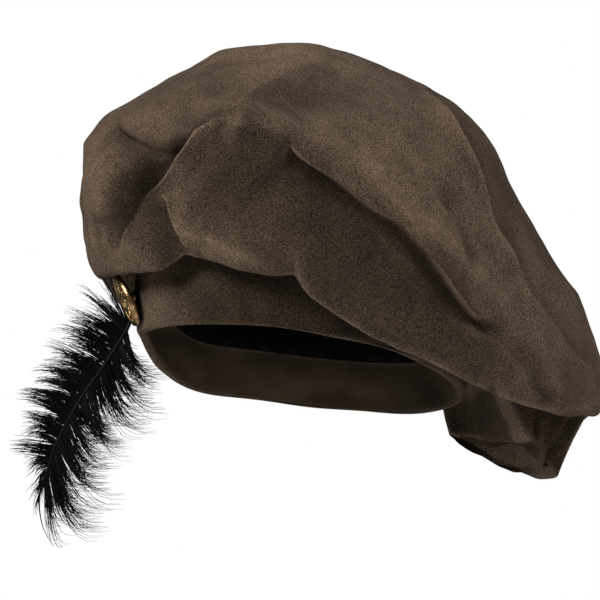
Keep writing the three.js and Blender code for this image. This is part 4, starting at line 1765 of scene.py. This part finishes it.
@dataclass
class Studio:
    """Floor, lights, white surroundings and the camera."""

    floor_drop: float = 0.42
    floor_radius: float = 1.15
    lens_sensor: float = 36.0
    white: tuple[float, float, float, float] = (1.0, 1.0, 1.0, 1.0)
    cast_strength: float = 0.11
    aim: tuple[float, float, float] = (0.0, 0.0, 0.06)

    def floor(self) -> None:
        """Lays the pale floor."""
        bm = bmesh.new()
        low = CAD_BOX[0][2] - self.floor_drop
        bmesh.ops.create_circle(bm, cap_ends=True, segments=96, radius=self.floor_radius,
                                matrix=Matrix.Translation((0, 0, low)))
        floor = finish_mesh("studio_floor", bm, smooth=False)
        floor.data.materials.append(PaleGround().build("pale_ground"))

    def lamp(self, name: str, place: tuple[float, float, float], size: float, power: float) -> None:
        """Hangs a soft square light that faces the hat.

        Args:
            name: Name of the light.
            place: Place in metres.
            size: Side in metres.
            power: Power in watts.
        """
        light = bpy.data.lights.new(name, "AREA")
        light.size = size
        light.energy = power
        lamp = bpy.data.objects.new(name, light)
        lamp.location = place
        aim = Vector(self.aim) - Vector(place)
        lamp.rotation_euler = aim.to_track_quat("-Z", "Y").to_euler()
        bpy.context.collection.objects.link(lamp)

    def surroundings(self) -> None:
        """Makes the surroundings white to look at and softer as light."""
        world = bpy.data.worlds.new("studio")
        bpy.context.scene.world = world
        world.use_nodes = True
        tree = world.node_tree
        tree.nodes.clear()
        output = tree.nodes.new("ShaderNodeOutputWorld")
        mix = tree.nodes.new("ShaderNodeMixShader")
        seen = tree.nodes.new("ShaderNodeBackground")
        cast = tree.nodes.new("ShaderNodeBackground")
        path = tree.nodes.new("ShaderNodeLightPath")
        seen.inputs["Strength"].default_value = 1.0
        seen.inputs["Color"].default_value = self.white
        cast.inputs["Color"].default_value = self.white
        cast.inputs["Strength"].default_value = self.cast_strength
        tree.links.new(path.outputs["Is Camera Ray"], mix.inputs["Fac"])
        tree.links.new(cast.outputs["Background"], mix.inputs[1])
        tree.links.new(seen.outputs["Background"], mix.inputs[2])
        tree.links.new(mix.outputs["Shader"], output.inputs["Surface"])

    def camera(self) -> None:
        """Sets the camera at the photograph's angle."""
        data = bpy.data.cameras.new("camera")
        data.sensor_fit = "HORIZONTAL"
        data.sensor_width = self.lens_sensor
        data.lens = self.lens_sensor * EYE_DISTANCE / VIEW_WIDTH
        camera = bpy.data.objects.new("camera", data)
        camera.location = (EYE_X * MM, -EYE_DISTANCE * MM, EYE_Z * MM)
        camera.rotation_euler = (math.pi / 2, 0.0, 0.0)
        bpy.context.collection.objects.link(camera)
        bpy.context.scene.camera = camera

    def build(self) -> None:
        """Sets up the whole studio."""
        self.floor()
        self.surroundings()
        self.lamp("key", (-0.9, -1.08, 0.84), 0.5, 31.0)
        self.lamp("top", (0.45, -0.3, 1.6), 0.6, 3.0)
        self.lamp("fill", (1.4, -1.0, 0.6), 0.7, 15.0)
        self.camera()
        bpy.context.scene.view_settings.view_transform = "Standard"


def main() -> None:
    """Builds the hat and the studio."""
    logging.basicConfig(level=logging.INFO, format="%(message)s")
    head_band = HeadBand()
    Studio().build()
    Crown(head_band, Velvet()).build()
    Band(head_band, Velvet()).build()
    Facing(head_band, Satin()).build()
    Lining(head_band, LiningCloth()).build()
    Button(head_band, AgedGold()).build()
    Plume(head_band, Feather()).build()


if __name__ == "__main__":
    main()
